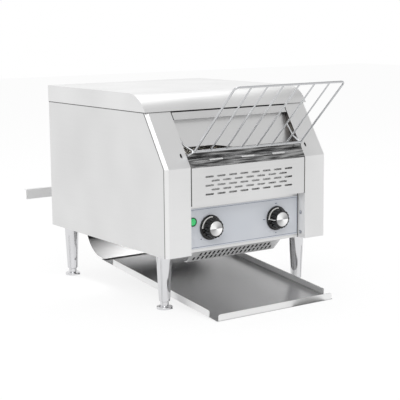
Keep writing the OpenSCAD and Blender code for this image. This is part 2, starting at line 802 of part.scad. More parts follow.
module sprocket(y, z, bore) {
    translate([chain_x, y, z]) rotate([0, 90, 0]) difference() {
        union() {
            cylinder(h = chain_w, r = sprocket_r - 2.4);
            for (a = [0 : 30 : 330]) rotate([0, 0, a]) translate([sprocket_r - 4, -1.2, 1])
                cube([3.6, 2.4, chain_w - 2]);
            translate([0, 0, -5]) cylinder(h = 6, d = bore + 8);
        }
        if (bore > output_d) translate([0, 0, -6]) cylinder(h = 14, d = bore);
    }
}

module motor_sprocket() {
    dark_metal() {
        sprocket(motor_y, motor_h, output_d);
        rod([cheek_x + sheet + 18, motor_y, motor_h], [chain_x + 1, motor_y, motor_h], output_d);
    }
}

module chain_sprocket() { dark_metal() sprocket(rear_shaft, shaft_h, shaft_d); }

module drive_chain() {
    dy = rear_shaft - motor_y;
    dz = shaft_h - motor_h;
    span = norm([dy, dz]);
    color([0.25, 0.25, 0.25]) yz_plate(chain_x, chain_x + chain_w)
        translate([motor_y, motor_h]) rotate(atan2(dz, dy)) difference() {
            oval(span, sprocket_r + 3.2);
            oval(span, sprocket_r + gap);
        }
}

// ---- ramp and tray ----

ramp_t = 1;
ramp_x = cheek_x - gap;
ramp_high = shaft_h + ramp_rise;
ramp_edge = 8;                      // the flat end in front of the curve
tray_front = front - tray_reach;
tray_gap = 2;                       // air between the ramp's end and the tray's floor
tray_t = 1.2;
tray_w = 2 * (cheek_x + 0.2);
ramp_foot = ramp_y - ramp_r;        // Y at which the curve is level
tray_over = (ramp_foot - tray_front) * tan(tray_tilt) + tray_t / cos(tray_tilt);
ramp_low = tray_over + tray_gap;    // height of the ramp's lowest underside

module discharge_ramp() {
    c = [ramp_foot, ramp_low + ramp_t + ramp_r];
    polished() yz_plate(-ramp_x, ramp_x) {
        difference() {
            translate(c) circle(r = ramp_r + ramp_t, $fn = 96);
            translate(c) circle(r = ramp_r, $fn = 96);
            translate(c - [2 * ramp_r, 2 * ramp_r]) square([2 * ramp_r, 4 * ramp_r]);
            translate(c - [2 * ramp_r, 0]) square([4 * ramp_r, 2 * ramp_r]);
        }
        translate([ramp_y, c[1] - eps]) square([ramp_t, ramp_high - c[1] + eps]);
        translate([ramp_foot - ramp_edge, ramp_low]) square([ramp_edge + eps, ramp_t]);
    }
}

tray_end = ramp_foot + tray_under;
tray_len = (tray_end - tray_front) / cos(tray_tilt);

// Bracket under the ramp, with a lip that the tray's rear edge rests on
module tray_rest() {
    lip_y = tray_end - 9;
    under = (lip_y - tray_front) * tan(tray_tilt) - 0.4;
    x = ramp_x - 14;
    join = tray_end + 22.2;
    steel() difference() {
        yz_plate(-x, x) polygon([[lip_y, under - sheet], [join, under - sheet], [join, ramp_low + 8],
            [join - sheet, ramp_low + 8], [join - sheet, under], [lip_y, under]]);
        yz_plate(-x - 1, x + 1) translate([ramp_foot, ramp_low + ramp_t + ramp_r])
            circle(r = ramp_r + ramp_t, $fn = 96);
    }
}

module catch_tray() {
    flange_start = 24;
    flange_end = tray_len - 44;
    r = 4;
    polished() translate([0, tray_front, 0]) rotate([tray_tilt, 0, 0]) {
        block([-tray_w / 2, 0, 0], [tray_w / 2, tray_len, tray_t]);
        for (s = [-1, 1]) mirror([s < 0 ? 1 : 0, 0, 0])
            yz_plate(tray_w / 2 - tray_t, tray_w / 2) {
                translate([flange_start, 0]) square([flange_end - flange_start, tray_lip - r]);
                translate([flange_start + r, 0]) square([flange_end - flange_start - r, tray_lip]);
                translate([flange_start + r, tray_lip - r]) circle(r = r, $fn = 32);
            }
        rotate([90, 0, 0]) translate([0, 0, -tray_t]) linear_extrude(tray_t) {
            translate([-tray_w / 2 + 3, 0]) square([tray_w - 6, tray_lip - r]);
            translate([-tray_w / 2 + 3 + r, 0]) square([tray_w - 6 - 2 * r, tray_lip]);
            for (s = [-1, 1]) translate([s * (tray_w / 2 - 3 - r), tray_lip - r]) circle(r = r, $fn = 32);
        }
    }
}

// ---- feed rack ----

rack_y = front + rack_foot;
rack_z = lip_high + 4;
rack_x = cheek_x - rack_inset;
rack_pitch = 2 * rack_x / (rack_rods + 1);

module rack_plane() {
    translate([0, rack_y, rack_z]) rotate([180 - rack_angle, 0, 0]) children();
}

module bead(p, d) {
    translate(p) sphere(d = d * 1.08, $fn = 24);
}

module feed_rack() {
    bend = 9;
    lower_d = rack_wire + 1;
    chrome() {
        rack_plane() {
            for (s = [-1, 1]) {
                rod([s * rack_x, 0, 0], [s * rack_x, rack_len - bend, 0], rack_wire);
                translate([s * (rack_x - bend), rack_len - bend, 0]) rotate([0, 0, s > 0 ? 0 : 90])
                    rotate_extrude(angle = 90) translate([bend, 0]) circle(d = rack_wire, $fn = 24);
            }
            rod([-rack_x + bend, rack_len, 0], [rack_x - bend, rack_len, 0], rack_wire);
            for (i = [1 : rack_rods])
                rod([i * rack_pitch - rack_x, 0, 0], [i * rack_pitch - rack_x, rack_len, 0], rod_wire);
            rod([-rack_x - 4, 0, 0], [rack_x + 4, 0, 0], lower_d);
        }
        for (s = [-1, 1]) {
            // an arm goes back from the crossbar's end to the hinge pin, and a short leg rests on the lip
            a = [s * rack_x, rack_y, rack_z];
            b = [s * (rack_x + 5.2), rack_pin_y - 21, rack_pin_h - 21.5];
            c = [s * (rack_x + 7), rack_pin_y, rack_pin_h];
            rest_h = lip_high - 3;
            rest = [s * (rack_x + 8), face_y(rest_h) - (rod_wire / 2 + gap) / cos(lean_angle), rest_h];
            rod(a, b, rod_wire);
            bead(b, rod_wire);
            rod(b, c, rod_wire);
            bead(c, rod_wire);
            rod(c, c + [s * 10.6, 0, 0], rod_wire);
            rod(a, rest, rod_wire);
            bead(rest, rod_wire);
        }
    }
}

// ---- legs, feet and spacer ----

leg_foot_h = 14;
thread_d = 10;
stud_d = 8;

module leg(x, y) {
    chrome() translate([x, y, 0]) {
        difference() {
            translate([0, 0, leg_foot_h + gap])
                cylinder(h = under_h - leg_foot_h - gap, d1 = leg_low_d, d2 = leg_top_d);
            translate([0, 0, leg_foot_h - 1]) cylinder(h = 32, d = thread_d + 2 * run_fit, $fn = 32);
        }
        translate([0, 0, under_h - eps]) cylinder(h = sheet + 9, d = stud_d, $fn = 32);
    }
}

module foot(x, y) {
    chrome() translate([x, y, 0]) {
        cylinder(h = 4, d = foot_d);
        translate([0, 0, 4]) cylinder(h = 1.5, d1 = foot_d, d2 = foot_d - 4);
        cylinder(h = leg_foot_h, d = 16);
        cylinder(h = leg_foot_h + 26, d = thread_d, $fn = 32);
    }
}

module leg_front_left() { leg(-leg_x, front + leg_front); }
module leg_front_right() { leg(leg_x, front + leg_front); }
module leg_rear_left() { leg(-leg_x, back - leg_rear); }
module leg_rear_right() { leg(leg_x, back - leg_rear); }
module foot_front_left() { foot(-leg_x, front + leg_front); }
module foot_front_right() { foot(leg_x, front + leg_front); }
module foot_rear_left() { foot(-leg_x, back - leg_rear); }
module foot_rear_right() { foot(leg_x, back - leg_rear); }

module leg_nuts() {
    color([0.70, 0.70, 0.70]) for (x = [-leg_x, leg_x], y = [front + leg_front, back - leg_rear])
        translate([x, y, floor_h]) difference() {
            cylinder(h = 6.5, d = 15, $fn = 6);
            translate([0, 0, -1]) cylinder(h = 9, d = stud_d + 0.1, $fn = 32);
        }
}

bar_y = rear_in + spacer_reach - spacer_lip + sheet;

module rear_spacer() {
    z1 = spacer_h + spacer_w;
    steel() difference() {
        union() {
            block([-side_x, bar_y - 1.5, spacer_h], [side_x, bar_y, z1]);
            block([-side_x, bar_y - 1.5, z1 - 1.5], [side_x, bar_y + spacer_lip, z1]);
            for (s = [-1, 1]) mirror([s < 0 ? 1 : 0, 0, 0]) {
                block([arm_x, rear_in, spacer_h], [arm_x + arm_t, bar_y - 1, z1]);
                block([arm_x, rear_in, spacer_h], [arm_x + 22, rear_in + arm_t, z1]);
            }
        }
        for (s = [-1, 1]) translate([s * spacer_screw_x, rear_in - 1, spacer_h + spacer_w / 2])
            rotate([-90, 0, 0]) cylinder(h = 5, d = screw_hole, $fn = 24);
    }
}

// ---- electrics and fasteners ----

module cable_gland() {
    black_plastic() translate([gland_x, rear_y, gland_h]) rotate([-90, 0, 0]) difference() {
        union() {
            translate([0, 0, -5]) cylinder(h = 5, d = 22, $fn = 6);
            cylinder(h = sheet, d = gland_d);
            translate([0, 0, sheet]) cylinder(h = 5, d = 24, $fn = 6);
            translate([0, 0, sheet + 5]) cylinder(h = 9, d1 = 20, d2 = 15);
        }
        translate([0, 0, -6]) cylinder(h = 30, d = 9);
    }
}

module terminal_block() {
    x = -cheek_x - 40;
    y = back - 110;
    color([0.93, 0.92, 0.88]) difference() {
        union() {
            block([x, y, floor_h], [x + 20, y + 48, floor_h + 12]);
            for (i = [0 : 4])
                block([x + 2, y + 2 + i * 9.2, floor_h + 11], [x + 18, y + 9 + i * 9.2, floor_h + 18]);
        }
        for (i = [0 : 4])
            translate([x + 10, y + 5.5 + i * 9.2, floor_h + 6]) cylinder(h = 20, d = 4, $fn = 24);
    }
}

screw_head_d = 6.5;

// A pan-head screw: p is the seat under its head, turn sends the head outwards
module screw(p, turn, reach) {
    translate(p) rotate(turn) {
        cylinder(h = 1.4, d = screw_head_d, $fn = 24);
        translate([0, 0, 1.4]) cylinder(h = 0.8, d1 = screw_head_d, d2 = screw_head_d - 2.4, $fn = 24);
        translate([0, 0, -reach]) cylinder(h = reach + eps, d = screw_hole - 0.2, $fn = 24);
    }
}

module case_screws() {
    color([0.60, 0.60, 0.62]) {
        // each flange's return to the cheek behind it
        for (z = return_screws, s = [-1, 1])
            screw([s * throat_x, return_screw_y, z], [0, -s * 90, 0], cheek_x + sheet + 3 - throat_x);
        // side panels to the rear panel
        for (z = rear_screws, s = [-1, 1]) screw([s * (side_x - 6), back, z], [-90, 0, 0], 2 * sheet + 4);
        // spacer feet on the rear panel
        for (s = [-1, 1])
            screw([s * spacer_screw_x, rear_in + arm_t, spacer_h + spacer_w / 2], [-90, 0, 0],
                arm_t + sheet + 4);
    }
}

roof_cover();
side_panel_left();
side_panel_right();
rear_panel();
base_plate();
cheek_left();
cheek_right();
header_strip();
feed_lip();
vent_panel();
control_panel();
control_label();
control_cover();
lower_guard();
feed_shield();
upper_reflector();
lower_reflector();
upper_heaters();
lower_heaters();
heater_caps();
conveyor_belt();
drive_shaft();
idler_shaft();
drive_wheels();
idler_wheels();
shaft_bushes();
gearmotor();
motor_sprocket();
chain_sprocket();
drive_chain();
fan_frame();
fan_rotor();
heat_switch();
speed_regulator();
heat_knob();
heat_knob_cap();
heat_knob_shaft();
speed_knob();
speed_knob_cap();
speed_knob_shaft();
lamp_body();
lamp_lens();
discharge_ramp();
tray_rest();
catch_tray();
feed_rack();
leg_front_left();
leg_front_right();
leg_rear_left();
leg_rear_right();
foot_front_left();
foot_front_right();
foot_rear_left();
foot_rear_right();
leg_nuts();
rear_spacer();
cable_gland();
terminal_block();
case_screws();
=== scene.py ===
"""Dresses the conveyor toaster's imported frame.

The frame gives every piece its size and place, in metres: +Z up, the front faces -Y. This script gives
the pieces their finishes, builds the ones that need a finer form (bent wire, pressed sheet, turned metal,
moulded knobs, woven belt), and sets the studio round them.
"""

from __future__ import annotations

import logging
import math
from collections.abc import Callable, Iterable, Sequence
from dataclasses import dataclass
from enum import Enum

import bmesh
import bpy
from mathutils import Matrix, Vector

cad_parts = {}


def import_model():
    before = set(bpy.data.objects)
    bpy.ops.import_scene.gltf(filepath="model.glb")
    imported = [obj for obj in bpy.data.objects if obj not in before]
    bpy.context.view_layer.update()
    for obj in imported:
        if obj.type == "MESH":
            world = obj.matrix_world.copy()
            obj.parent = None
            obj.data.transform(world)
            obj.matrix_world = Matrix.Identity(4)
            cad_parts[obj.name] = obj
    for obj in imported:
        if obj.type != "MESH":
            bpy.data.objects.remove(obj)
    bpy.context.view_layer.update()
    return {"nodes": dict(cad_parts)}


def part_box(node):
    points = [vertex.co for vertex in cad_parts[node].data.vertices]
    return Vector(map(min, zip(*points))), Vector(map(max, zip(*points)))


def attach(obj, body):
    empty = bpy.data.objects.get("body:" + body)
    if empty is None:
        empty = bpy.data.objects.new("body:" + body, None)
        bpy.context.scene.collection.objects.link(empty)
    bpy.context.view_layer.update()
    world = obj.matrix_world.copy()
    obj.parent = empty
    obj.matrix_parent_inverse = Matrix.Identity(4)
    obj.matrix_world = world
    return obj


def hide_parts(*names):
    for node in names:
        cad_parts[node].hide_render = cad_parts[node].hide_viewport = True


LOG = logging.getLogger("toaster")
MM = 0.001
CORNERS = ("front_left", "front_right", "rear_left", "rear_right")

BMesh, BMFace = bmesh.types.BMesh, bmesh.types.BMFace
Node, Socket, Tree = bpy.types.Node, bpy.types.NodeSocket, bpy.types.NodeTree
Inputs = dict[str | int, object]
Point = tuple[float, float, float]


class Axis(Enum):
    """A direction of the row frame, as the index of its coordinate."""

    X = 0
    Y = 1
    Z = 2


# Joints in the sheet work, along which a painted shadow line runs: each one's axis, and the two coordinates
# in millimetres that it lies between.
Joints = tuple[tuple[Axis, float, float], ...]


# ---------------------------------------------------------------- colour and nodes


def linear(hex_colour: str) -> tuple[float, float, float, float]:
    """Turn an sRGB hex colour into linear RGBA.

    Args:
        hex_colour: six hex digits, such as "C8CCD0".

    Returns:
        The colour in linear light, with alpha 1.
    """
    parts = [int(hex_colour[i : i + 2], 16) / 255 for i in (0, 2, 4)]
    red, green, blue = (p / 12.92 if p <= 0.04045 else ((p + 0.055) / 1.055) ** 2.4 for p in parts)
    return (red, green, blue, 1.0)


def cleared(owner: bpy.types.Material | bpy.types.World) -> Tree:
    """Turn on the nodes of a material or world.

    Args:
        owner: the material or world.

    Returns:
        Its node tree, emptied.
    """
    owner.use_nodes = True
    owner.node_tree.nodes.clear()
    return owner.node_tree


def add(tree: Tree, kind: str, inputs: Inputs | None = None, **settings: object) -> Node:
    """Add a node, set it and link it.

    Args:
        tree: the node tree that the node goes into.
        kind: Blender's name for the kind of node.
        inputs: by name or index, a value, an output socket, or a node whose first output is meant.
        **settings: the node's own properties.

    Returns:
        The new node.
    """
    node = tree.nodes.new(kind)
    for name, value in settings.items():
        setattr(node, name, value)
    for key, value in (inputs or {}).items():
        if isinstance(value, Node):
            value = value.outputs[0]
        if isinstance(value, Socket):
            tree.links.new(value, node.inputs[key])
        else:
            node.inputs[key].default_value = value
    return node


def noise(tree: Tree, pitch_mm: float | Sequence[float], detail: float) -> Node:
    """Noise in the row frame.

    Args:
        tree: the node tree.
        pitch_mm: the size of its grain, or the sizes along X, Y and Z.
        detail: how many finer octaves lie on it.

    Returns:
        The noise, from 0 to 1.
    """
    pitches = (pitch_mm,) * 3 if isinstance(pitch_mm, float) else pitch_mm
    place = add(tree, "ShaderNodeTexCoord").outputs["Object"]
    scale = tuple(1.0 / (pitch * MM) for pitch in pitches)
    mapped = add(tree, "ShaderNodeMapping", {"Vector": place, "Scale": scale})
    return add(tree, "ShaderNodeTexNoise", {"Vector": mapped, "Scale": 1.0, "Detail": detail})


def spread(tree: Tree, value: Node, low: float, high: float) -> Node:
    """Map noise, whose values crowd round a half, onto low to high."""
    ends = {"From Min": 0.3, "From Max": 0.7, "To Min": low, "To Max": high}
    return add(tree, "ShaderNodeMapRange", {"Value": value, **ends})


def tint(tree: Tree, value: Node | Socket, low: str, high: str, start: float = 0.3, end: float = 0.7) -> Node:
    """Colour between two sRGB colours by a value.

    Args:
        tree: the node tree.
        value: what chooses the colour.
        low: the colour at start, as sRGB hex.
        high: the colour at end, as sRGB hex.
        start: the value that gives low.
        end: the value that gives high.

    Returns:
        The colour.
    """
    ramp = add(tree, "ShaderNodeValToRGB", {"Fac": value})
    first, last = ramp.color_ramp.elements
    first.position, first.color = start, linear(low)
    last.position, last.color = end, linear(high)
    return ramp


def bumped(tree: Tree, height: Node | Socket, depth_mm: float, strength: float) -> Node:
    """A normal that follows a height of the given depth in millimetres."""
    return add(tree, "ShaderNodeBump", {"Height": height, "Distance": depth_mm * MM, "Strength": strength})


def painted_gap_shadows(tree: Tree, colour: Node, joints: Joints, shade: float) -> Node:
    """Darken a colour along the joints of the sheet work: painted shadow lines for the gaps between parts.

    Args:
        tree: the node tree.
        colour: the clean surface's colour.
        joints: where they lie, on both sides of the middle.
        shade: what is left of the colour in the joint.

    Returns:
        The colour with its joints.
    """
    place = add(tree, "ShaderNodeTexCoord").outputs["Object"]
    parts = add(tree, "ShaderNodeSeparateXYZ", {"Vector": place})
    for axis, start, end in joints:
        away = add(tree, "ShaderNodeMath", {0: parts.outputs[axis.value]}, operation="ABSOLUTE")
        middle, half = (start + end) / 2 * MM, (end - start) / 2 * MM
        inside = add(tree, "ShaderNodeMath", {0: away, 1: middle, 2: half}, operation="COMPARE")
        kept = add(tree, "ShaderNodeMapRange", {"Value": inside, "To Min": 1.0, "To Max": shade})
        colour = add(tree, "ShaderNodeVectorMath", {0: colour, "Scale": kept}, operation="SCALE")
    return colour


def painted_crevice_shade(tree: Tree, colour: Node, reach_mm: float, shade: float) -> Node:
    """Darken a colour in seams and inner corners, by how shut in they are: painted shade.

    Args:
        tree: the node tree.
        colour: the clean surface's colour.
        reach_mm: how far from the corner the painted shade reaches.
        shade: what is left of the colour deep in the seam.

    Returns:
        The darkened colour.
    """
    shut = add(tree, "ShaderNodeAmbientOcclusion", {"Distance": reach_mm * MM}, samples=6).outputs["AO"]
    ends = {"From Min": 0.35, "From Max": 0.95, "To Min": shade, "To Max": 1.0}
    kept = add(tree, "ShaderNodeMapRange", {"Value": shut, **ends})
    return add(tree, "ShaderNodeVectorMath", {0: colour, "Scale": kept}, operation="SCALE")


# ---------------------------------------------------------------- finishes


@dataclass(frozen=True)
class Finish:
    """A named surface finish. Each kind of finish says what goes into its shader."""

    name: str
    slot: str

    def inputs(self, tree: Tree) -> Inputs:
        """Build the finish's patterns.

        Args:
            tree: the material's node tree.

        Returns:
            The shader's inputs, by name.
        """
        raise NotImplementedError

    def material(self) -> bpy.types.Material:
        """Find the finish's material, which the first call builds.

        Returns:
            The Blender material.
        """
        found = bpy.data.materials.get(self.name)
        if found is not None:
            return found
        made = bpy.data.materials.new(self.name)
        tree = cleared(made)
        shader = add(tree, "ShaderNodeBsdfPrincipled", self.inputs(tree))
        add(tree, "ShaderNodeOutputMaterial", {"Surface": shader})
        return made


@dataclass(frozen=True)
class BrushedStainless(Finish):
    """Stainless sheet ground with a belt: fine parallel scratches spread its gloss into a soft sheen."""

    colour: str = "E9E9E9"
    dark: str = "E0E0E0"
    roughness: float = 0.34
    grain: Axis = Axis.X
    scratch_mm: float = 1.6  # real scratches are 0.1 mm apart: drawn coarser, so that the grain shows
    length_mm: float = 90.0
    joints: Joints = ()
    joint_shade: float = 0.12

    def inputs(self, tree: Tree) -> Inputs:
        """Metal whose roughness and height follow long thin streaks."""
        pitch = [self.scratch_mm] * 3
        pitch[self.grain.value] = self.length_mm
        streaks = noise(tree, pitch, 4.0)
        clouded = tint(tree, noise(tree, 120.0, 1.0), self.dark, self.colour)
        # Painted shade: the colour is darkened along the joints and in the occluded seams and corners.
        lined = painted_gap_shadows(tree, clouded, self.joints, self.joint_shade)
        return {
            "Base Color": painted_crevice_shade(tree, lined, 3.0, 0.25),
            "Metallic": 1.0,
            "Roughness": spread(tree, streaks, self.roughness - 0.05, self.roughness + 0.05),
            "Normal": bumped(tree, streaks, 0.02, 0.35),
        }


@dataclass(frozen=True)
class BrightStainless(Finish):
    """Bright annealed stainless: nearly a mirror, with the faint ripple that rolling leaves in thin sheet."""

    colour: str = "C9C9CA"
    roughness: float = 0.16
    ripple_mm: float = 70.0
    ripple_depth_mm: float = 0.25

    def inputs(self, tree: Tree) -> Inputs:
        """Metal with slow ripples and a faint rolling grain."""
        ripple = noise(tree, self.ripple_mm, 0.5)
        lines = noise(tree, (140.0, 2.0, 2.0), 3.0)
        return {
            "Base Color": linear(self.colour),
            "Metallic": 1.0,
            "Roughness": spread(tree, lines, self.roughness - 0.04, self.roughness + 0.05),
            "Normal": bumped(tree, ripple, self.ripple_depth_mm, 0.8),
        }


@dataclass(frozen=True)
class WornStainless(Finish):
    """Stainless under fine rub marks: a soft mirror with a matt share, whose colour may change with the
    height; where it darkens higher up, that is painted shade.
    """

    foot: str
    head: str
    foot_mm: float = 30.0
    head_mm: float = 92.0
    roughness: float = 0.24
    rubbed: float = 0.45  # the share of the surface that is rubbed matt

    def inputs(self, tree: Tree) -> Inputs:
        """Metal with a matt share, coloured by the height above the table."""
        place = add(tree, "ShaderNodeTexCoord").outputs["Object"]
        height = add(tree, "ShaderNodeSeparateXYZ", {"Vector": place}).outputs["Z"]
        ends = {"From Min": self.foot_mm * MM, "From Max": self.head_mm * MM}
        share = add(tree, "ShaderNodeMapRange", {"Value": height, **ends})
        streaks = noise(tree, (160.0, 5.0, 5.0), 2.0)
        ripple = noise(tree, 90.0, 0.5)
        return {
            "Base Color": tint(tree, share, self.foot, self.head, 0.0, 1.0),
            "Metallic": 1.0 - self.rubbed,
            "Roughness": spread(tree, streaks, self.roughness - 0.015, self.roughness + 0.02),
            "Normal": bumped(tree, ripple, 0.25, 0.8),
        }


@dataclass(frozen=True)
class StreakedSteel(Finish):
    """Bright sheet beside the heat, with long dark and light streaks in its colour."""

    light: str = "B4B4B4"
    dark: str = "3A3A3A"
    roughness: float = 0.22

    def inputs(self, tree: Tree) -> Inputs:
        """Metal whose colour changes in long streaks."""
        streaks = noise(tree, (45.0, 2.2, 2.2), 3.0)
        return {
            "Base Color": tint(tree, streaks, self.dark, self.light, 0.38, 0.62),
            "Metallic": 1.0,
            "Roughness": spread(tree, streaks, self.roughness - 0.06, self.roughness + 0.08),
            "Normal": bumped(tree, streaks, 0.02, 0.4),
        }


@dataclass(frozen=True)
class ScorchedSteel(Finish):
    """Mill-finish steel that the heat has dulled: dark, with straw and blue-grey clouds."""

    light: str = "6A655E"
    dark: str = "35343A"
    roughness: float = 0.42

    def inputs(self, tree: Tree) -> Inputs:
        """Metal whose colour drifts in clouds a few centimetres across."""
        clouds = noise(tree, 38.0, 4.0)
        grit = noise(tree, 1.5, 2.0)
        return {
            "Base Color": tint(tree, clouds, self.dark, self.light),
            "Metallic": 1.0,
            "Roughness": spread(tree, grit, self.roughness - 0.08, self.roughness + 0.1),
            "Normal": bumped(tree, grit, 0.03, 0.5),
        }


@dataclass(frozen=True)
class ChromePlate(Finish):
    """Chrome over polished steel: a hard clear mirror with the faintest polishing haze."""

    colour: str
    roughness: float = 0.07

    def inputs(self, tree: Tree) -> Inputs:
        """A clean metal mirror with slight haze."""
        return {
            "Base Color": linear(self.colour),
            "Metallic": 1.0,
            "Roughness": spread(tree, noise(tree, 14.0, 2.0), self.roughness - 0.03, self.roughness + 0.05),
        }


@dataclass(frozen=True)
class TurnedAluminium(Finish):
    """Aluminium faced on a lathe: rings round the axis, and a bow-tie of rays painted into its colour as a
    painted highlight.
    """

    centre: Point = (0.0, 0.0, 0.0)
    colour: str = "FFFFFF"
    dark: str = "A4A4A5"
    ring_mm: float = 0.9  # real rings are 0.15 mm apart: drawn coarser, so that they show

    def inputs(self, tree: Tree) -> Inputs:
        """Metal with rings by the distance from the axis, and a painted highlight in two rays by the angle
        round it.
        """
        place = add(tree, "ShaderNodeTexCoord").outputs["Object"]
        local = add(tree, "ShaderNodeVectorMath", {0: place, 1: self.centre}, operation="SUBTRACT")
        flat = add(tree, "ShaderNodeVectorMath", {0: local, 1: (1.0, 0.0, 1.0)}, operation="MULTIPLY")
        away = add(tree, "ShaderNodeVectorMath", {0: flat}, operation="LENGTH").outputs["Value"]
        per_metre = 2 * math.pi / (self.ring_mm * MM)
        turns = add(tree, "ShaderNodeMath", {0: away, 1: per_metre}, operation="MULTIPLY")
        rings = add(tree, "ShaderNodeMath", {0: turns}, operation="SINE")
        tilt = {"Vector": local, "Angle": math.radians(-90)}
        turned = add(tree, "ShaderNodeVectorRotate", tilt, rotation_type="X_AXIS")
        angle = add(tree, "ShaderNodeTexGradient", {"Vector": turned}, gradient_type="RADIAL").outputs["Fac"]
        halves = add(tree, "ShaderNodeMath", {0: angle, 1: 2.0}, operation="MULTIPLY")
        painted_sheen = add(tree, "ShaderNodeMath", {0: halves}, operation="FRACT")
        return {
            "Base Color": tint(tree, painted_sheen, self.dark, self.colour, 0.1, 0.8),
            "Metallic": 1.0,
            "Roughness": 0.3,
            "Normal": bumped(tree, rings, 0.03, 0.5),
        }


@dataclass(frozen=True)
class MouldedPlastic(Finish):
    """ABS or a like material from a spark-eroded mould: an even colour with a very fine skin texture."""

    colour: str = "0B0B0C"
    roughness: float = 0.32
    skin_mm: float = 0.8
    depth_mm: float = 0.015

    def inputs(self, tree: Tree) -> Inputs:
        """Dielectric with a fine grain in its gloss and height."""
        skin = noise(tree, self.skin_mm, 2.0)
        return {
            "Base Color": linear(self.colour),
            "Roughness": spread(tree, skin, self.roughness - 0.05, self.roughness + 0.08),
            "IOR": 1.5,
            "Normal": bumped(tree, skin, self.depth_mm, 0.5),
        }


@dataclass(frozen=True)
class PrintedOverlay(Finish):
    """Back-printed polyester film: an even pale blue-grey under a satin face."""

    colour: str = "DCDFE5"
    edge: str = "D4D8DF"
    # a painted shadow line where the overlay meets the gap at its end
    joints: Joints = ((Axis.X, 127.9, 131.0),)

    def inputs(self, tree: Tree) -> Inputs:
        """Dielectric satin with slow drift in its print."""
        drift = tint(tree, noise(tree, (90.0, 90.0, 60.0), 1.0), self.edge, self.colour)
        skin = noise(tree, 0.9, 1.0)
        return {
            "Base Color": painted_gap_shadows(tree, drift, self.joints, 0.15),
            "Roughness": spread(tree, skin, 0.36, 0.44),
            "IOR": 1.58,
            "Normal": bumped(tree, skin, 0.008, 0.4),
        }


@dataclass(frozen=True)
class LampGlass(Finish):
    """Green polycarbonate lens, lit a little from behind."""

    colour: str = "2FC56B"

    def inputs(self, tree: Tree) -> Inputs:
        """Glossy green with a soft glow and fine prisms."""
        prisms = noise(tree, 1.1, 0.0)
        return {
            "Base Color": tint(tree, prisms, "1EA552", "59E08F"),
            "Roughness": 0.12,
            "IOR": 1.585,
            "Emission Color": linear(self.colour),
            "Emission Strength": 0.25,
            "Normal": bumped(tree, prisms, 0.08, 0.5),
        }


@dataclass(frozen=True)
class Quartz(Finish):
    """Fused quartz with a frosted bore: milky and clear at once."""

    colour: str = "F1ECE6"

    def inputs(self, tree: Tree) -> Inputs:
        """Half-transmitting glass with faint drawing lines."""
        lines = noise(tree, (200.0, 1.2, 1.2), 2.0)
        return {
            "Base Color": linear(self.colour),
            "Roughness": spread(tree, lines, 0.18, 0.3),
            "IOR": 1.458,
            "Transmission Weight": 0.55,
            "Normal": bumped(tree, lines, 0.02, 0.4),
        }


@dataclass(frozen=True)
class GreyEnamel(Finish):
    """Stoved hammer enamel on a casting: grey, with the dimples of the hammer finish."""

    colour: str = "75787C"
    dimple_mm: float = 2.0

    def inputs(self, tree: Tree) -> Inputs:
        """Satin paint over dimples two millimetres across."""
        place = add(tree, "ShaderNodeTexCoord").outputs["Object"]
        cells = add(tree, "ShaderNodeTexVoronoi", {"Vector": place, "Scale": 1 / (self.dimple_mm * MM)})
        return {
            "Base Color": tint(tree, cells.outputs["Distance"], "686B70", self.colour, 0.1, 0.7),
            "Metallic": 0.2,
            "Roughness": 0.38,
            "Normal": bumped(tree, cells.outputs["Distance"], 0.1, 0.4),
        }


HOUSING_STEEL = BrushedStainless("brushed_stainless_sheet", "steel", grain=Axis.Y)
# a painted shadow line under the roof's skirt
SIDE_JOINTS = ((Axis.Z, 353.4, 355.2),)
SIDE_STEEL = BrushedStainless(
    "brushed_stainless_side", "steel", "E2E2E2", "DBDBDB", grain=Axis.Y, joints=SIDE_JOINTS, joint_shade=0.2
)
FACE_STEEL = BrushedStainless("brushed_stainless_face", "steel")
# painted shadow lines where the front panels meet the side flanges
PANEL_STEEL = BrushedStainless(
    "brushed_stainless_panel", "steel", "E1E1E1", "DADADA", 0.32, joints=((Axis.X, 128.2, 131.0),)
)
FLANGE_STEEL = BrushedStainless("brushed_stainless_flange", "steel", "F4F4F4", "ECECEC", 0.5)
# lighter than the sheet round it: a painted highlight on the side panels' bevel
BEVEL_HIGHLIGHT_STEEL = BrushedStainless("painted_highlight_bevel", "steel", "F3F3F3", "EDEDED", 0.4)
# dark colour on the narrow faces along the bends: painted shade
BEND_SHADE_LINE = BrushedStainless("painted_bend_shade", "steel", "8C8C8C", "7C7C7C", 0.5)
GUARD_STEEL = WornStainless("rubbed_stainless_guard", "steel", "F2F2F2", "F2F2F2", rubbed=0.6)
# pure white and nearly matt, brighter than the steel round it: painted light on faces that lie in shade
PAINTED_LIGHT_RETURN = WornStainless("painted_light_matt_return", "steel", "FFFFFF", "FFFFFF", rubbed=0.95)
TRAY_STEEL = WornStainless(
    "rubbed_stainless_tray", "polished_steel", "A2A2A3", "A0A0A1", head_mm=45.0, rubbed=0.35
)
# the ramp's colour darkens from its foot to its top: painted shade
RAMP_STEEL_PAINTED_SHADE = WornStainless("ramp_steel_painted_shade", "polished_steel", "F6F6F6", "161617", head_mm=78.0)
BRIGHT_STEEL = BrightStainless("bright_stainless_sheet", "polished_steel")
SHIELD_STEEL = BrightStainless(
    "satin_stainless_shield", "polished_steel", "E4E4E4", 0.36, ripple_depth_mm=0.1
)
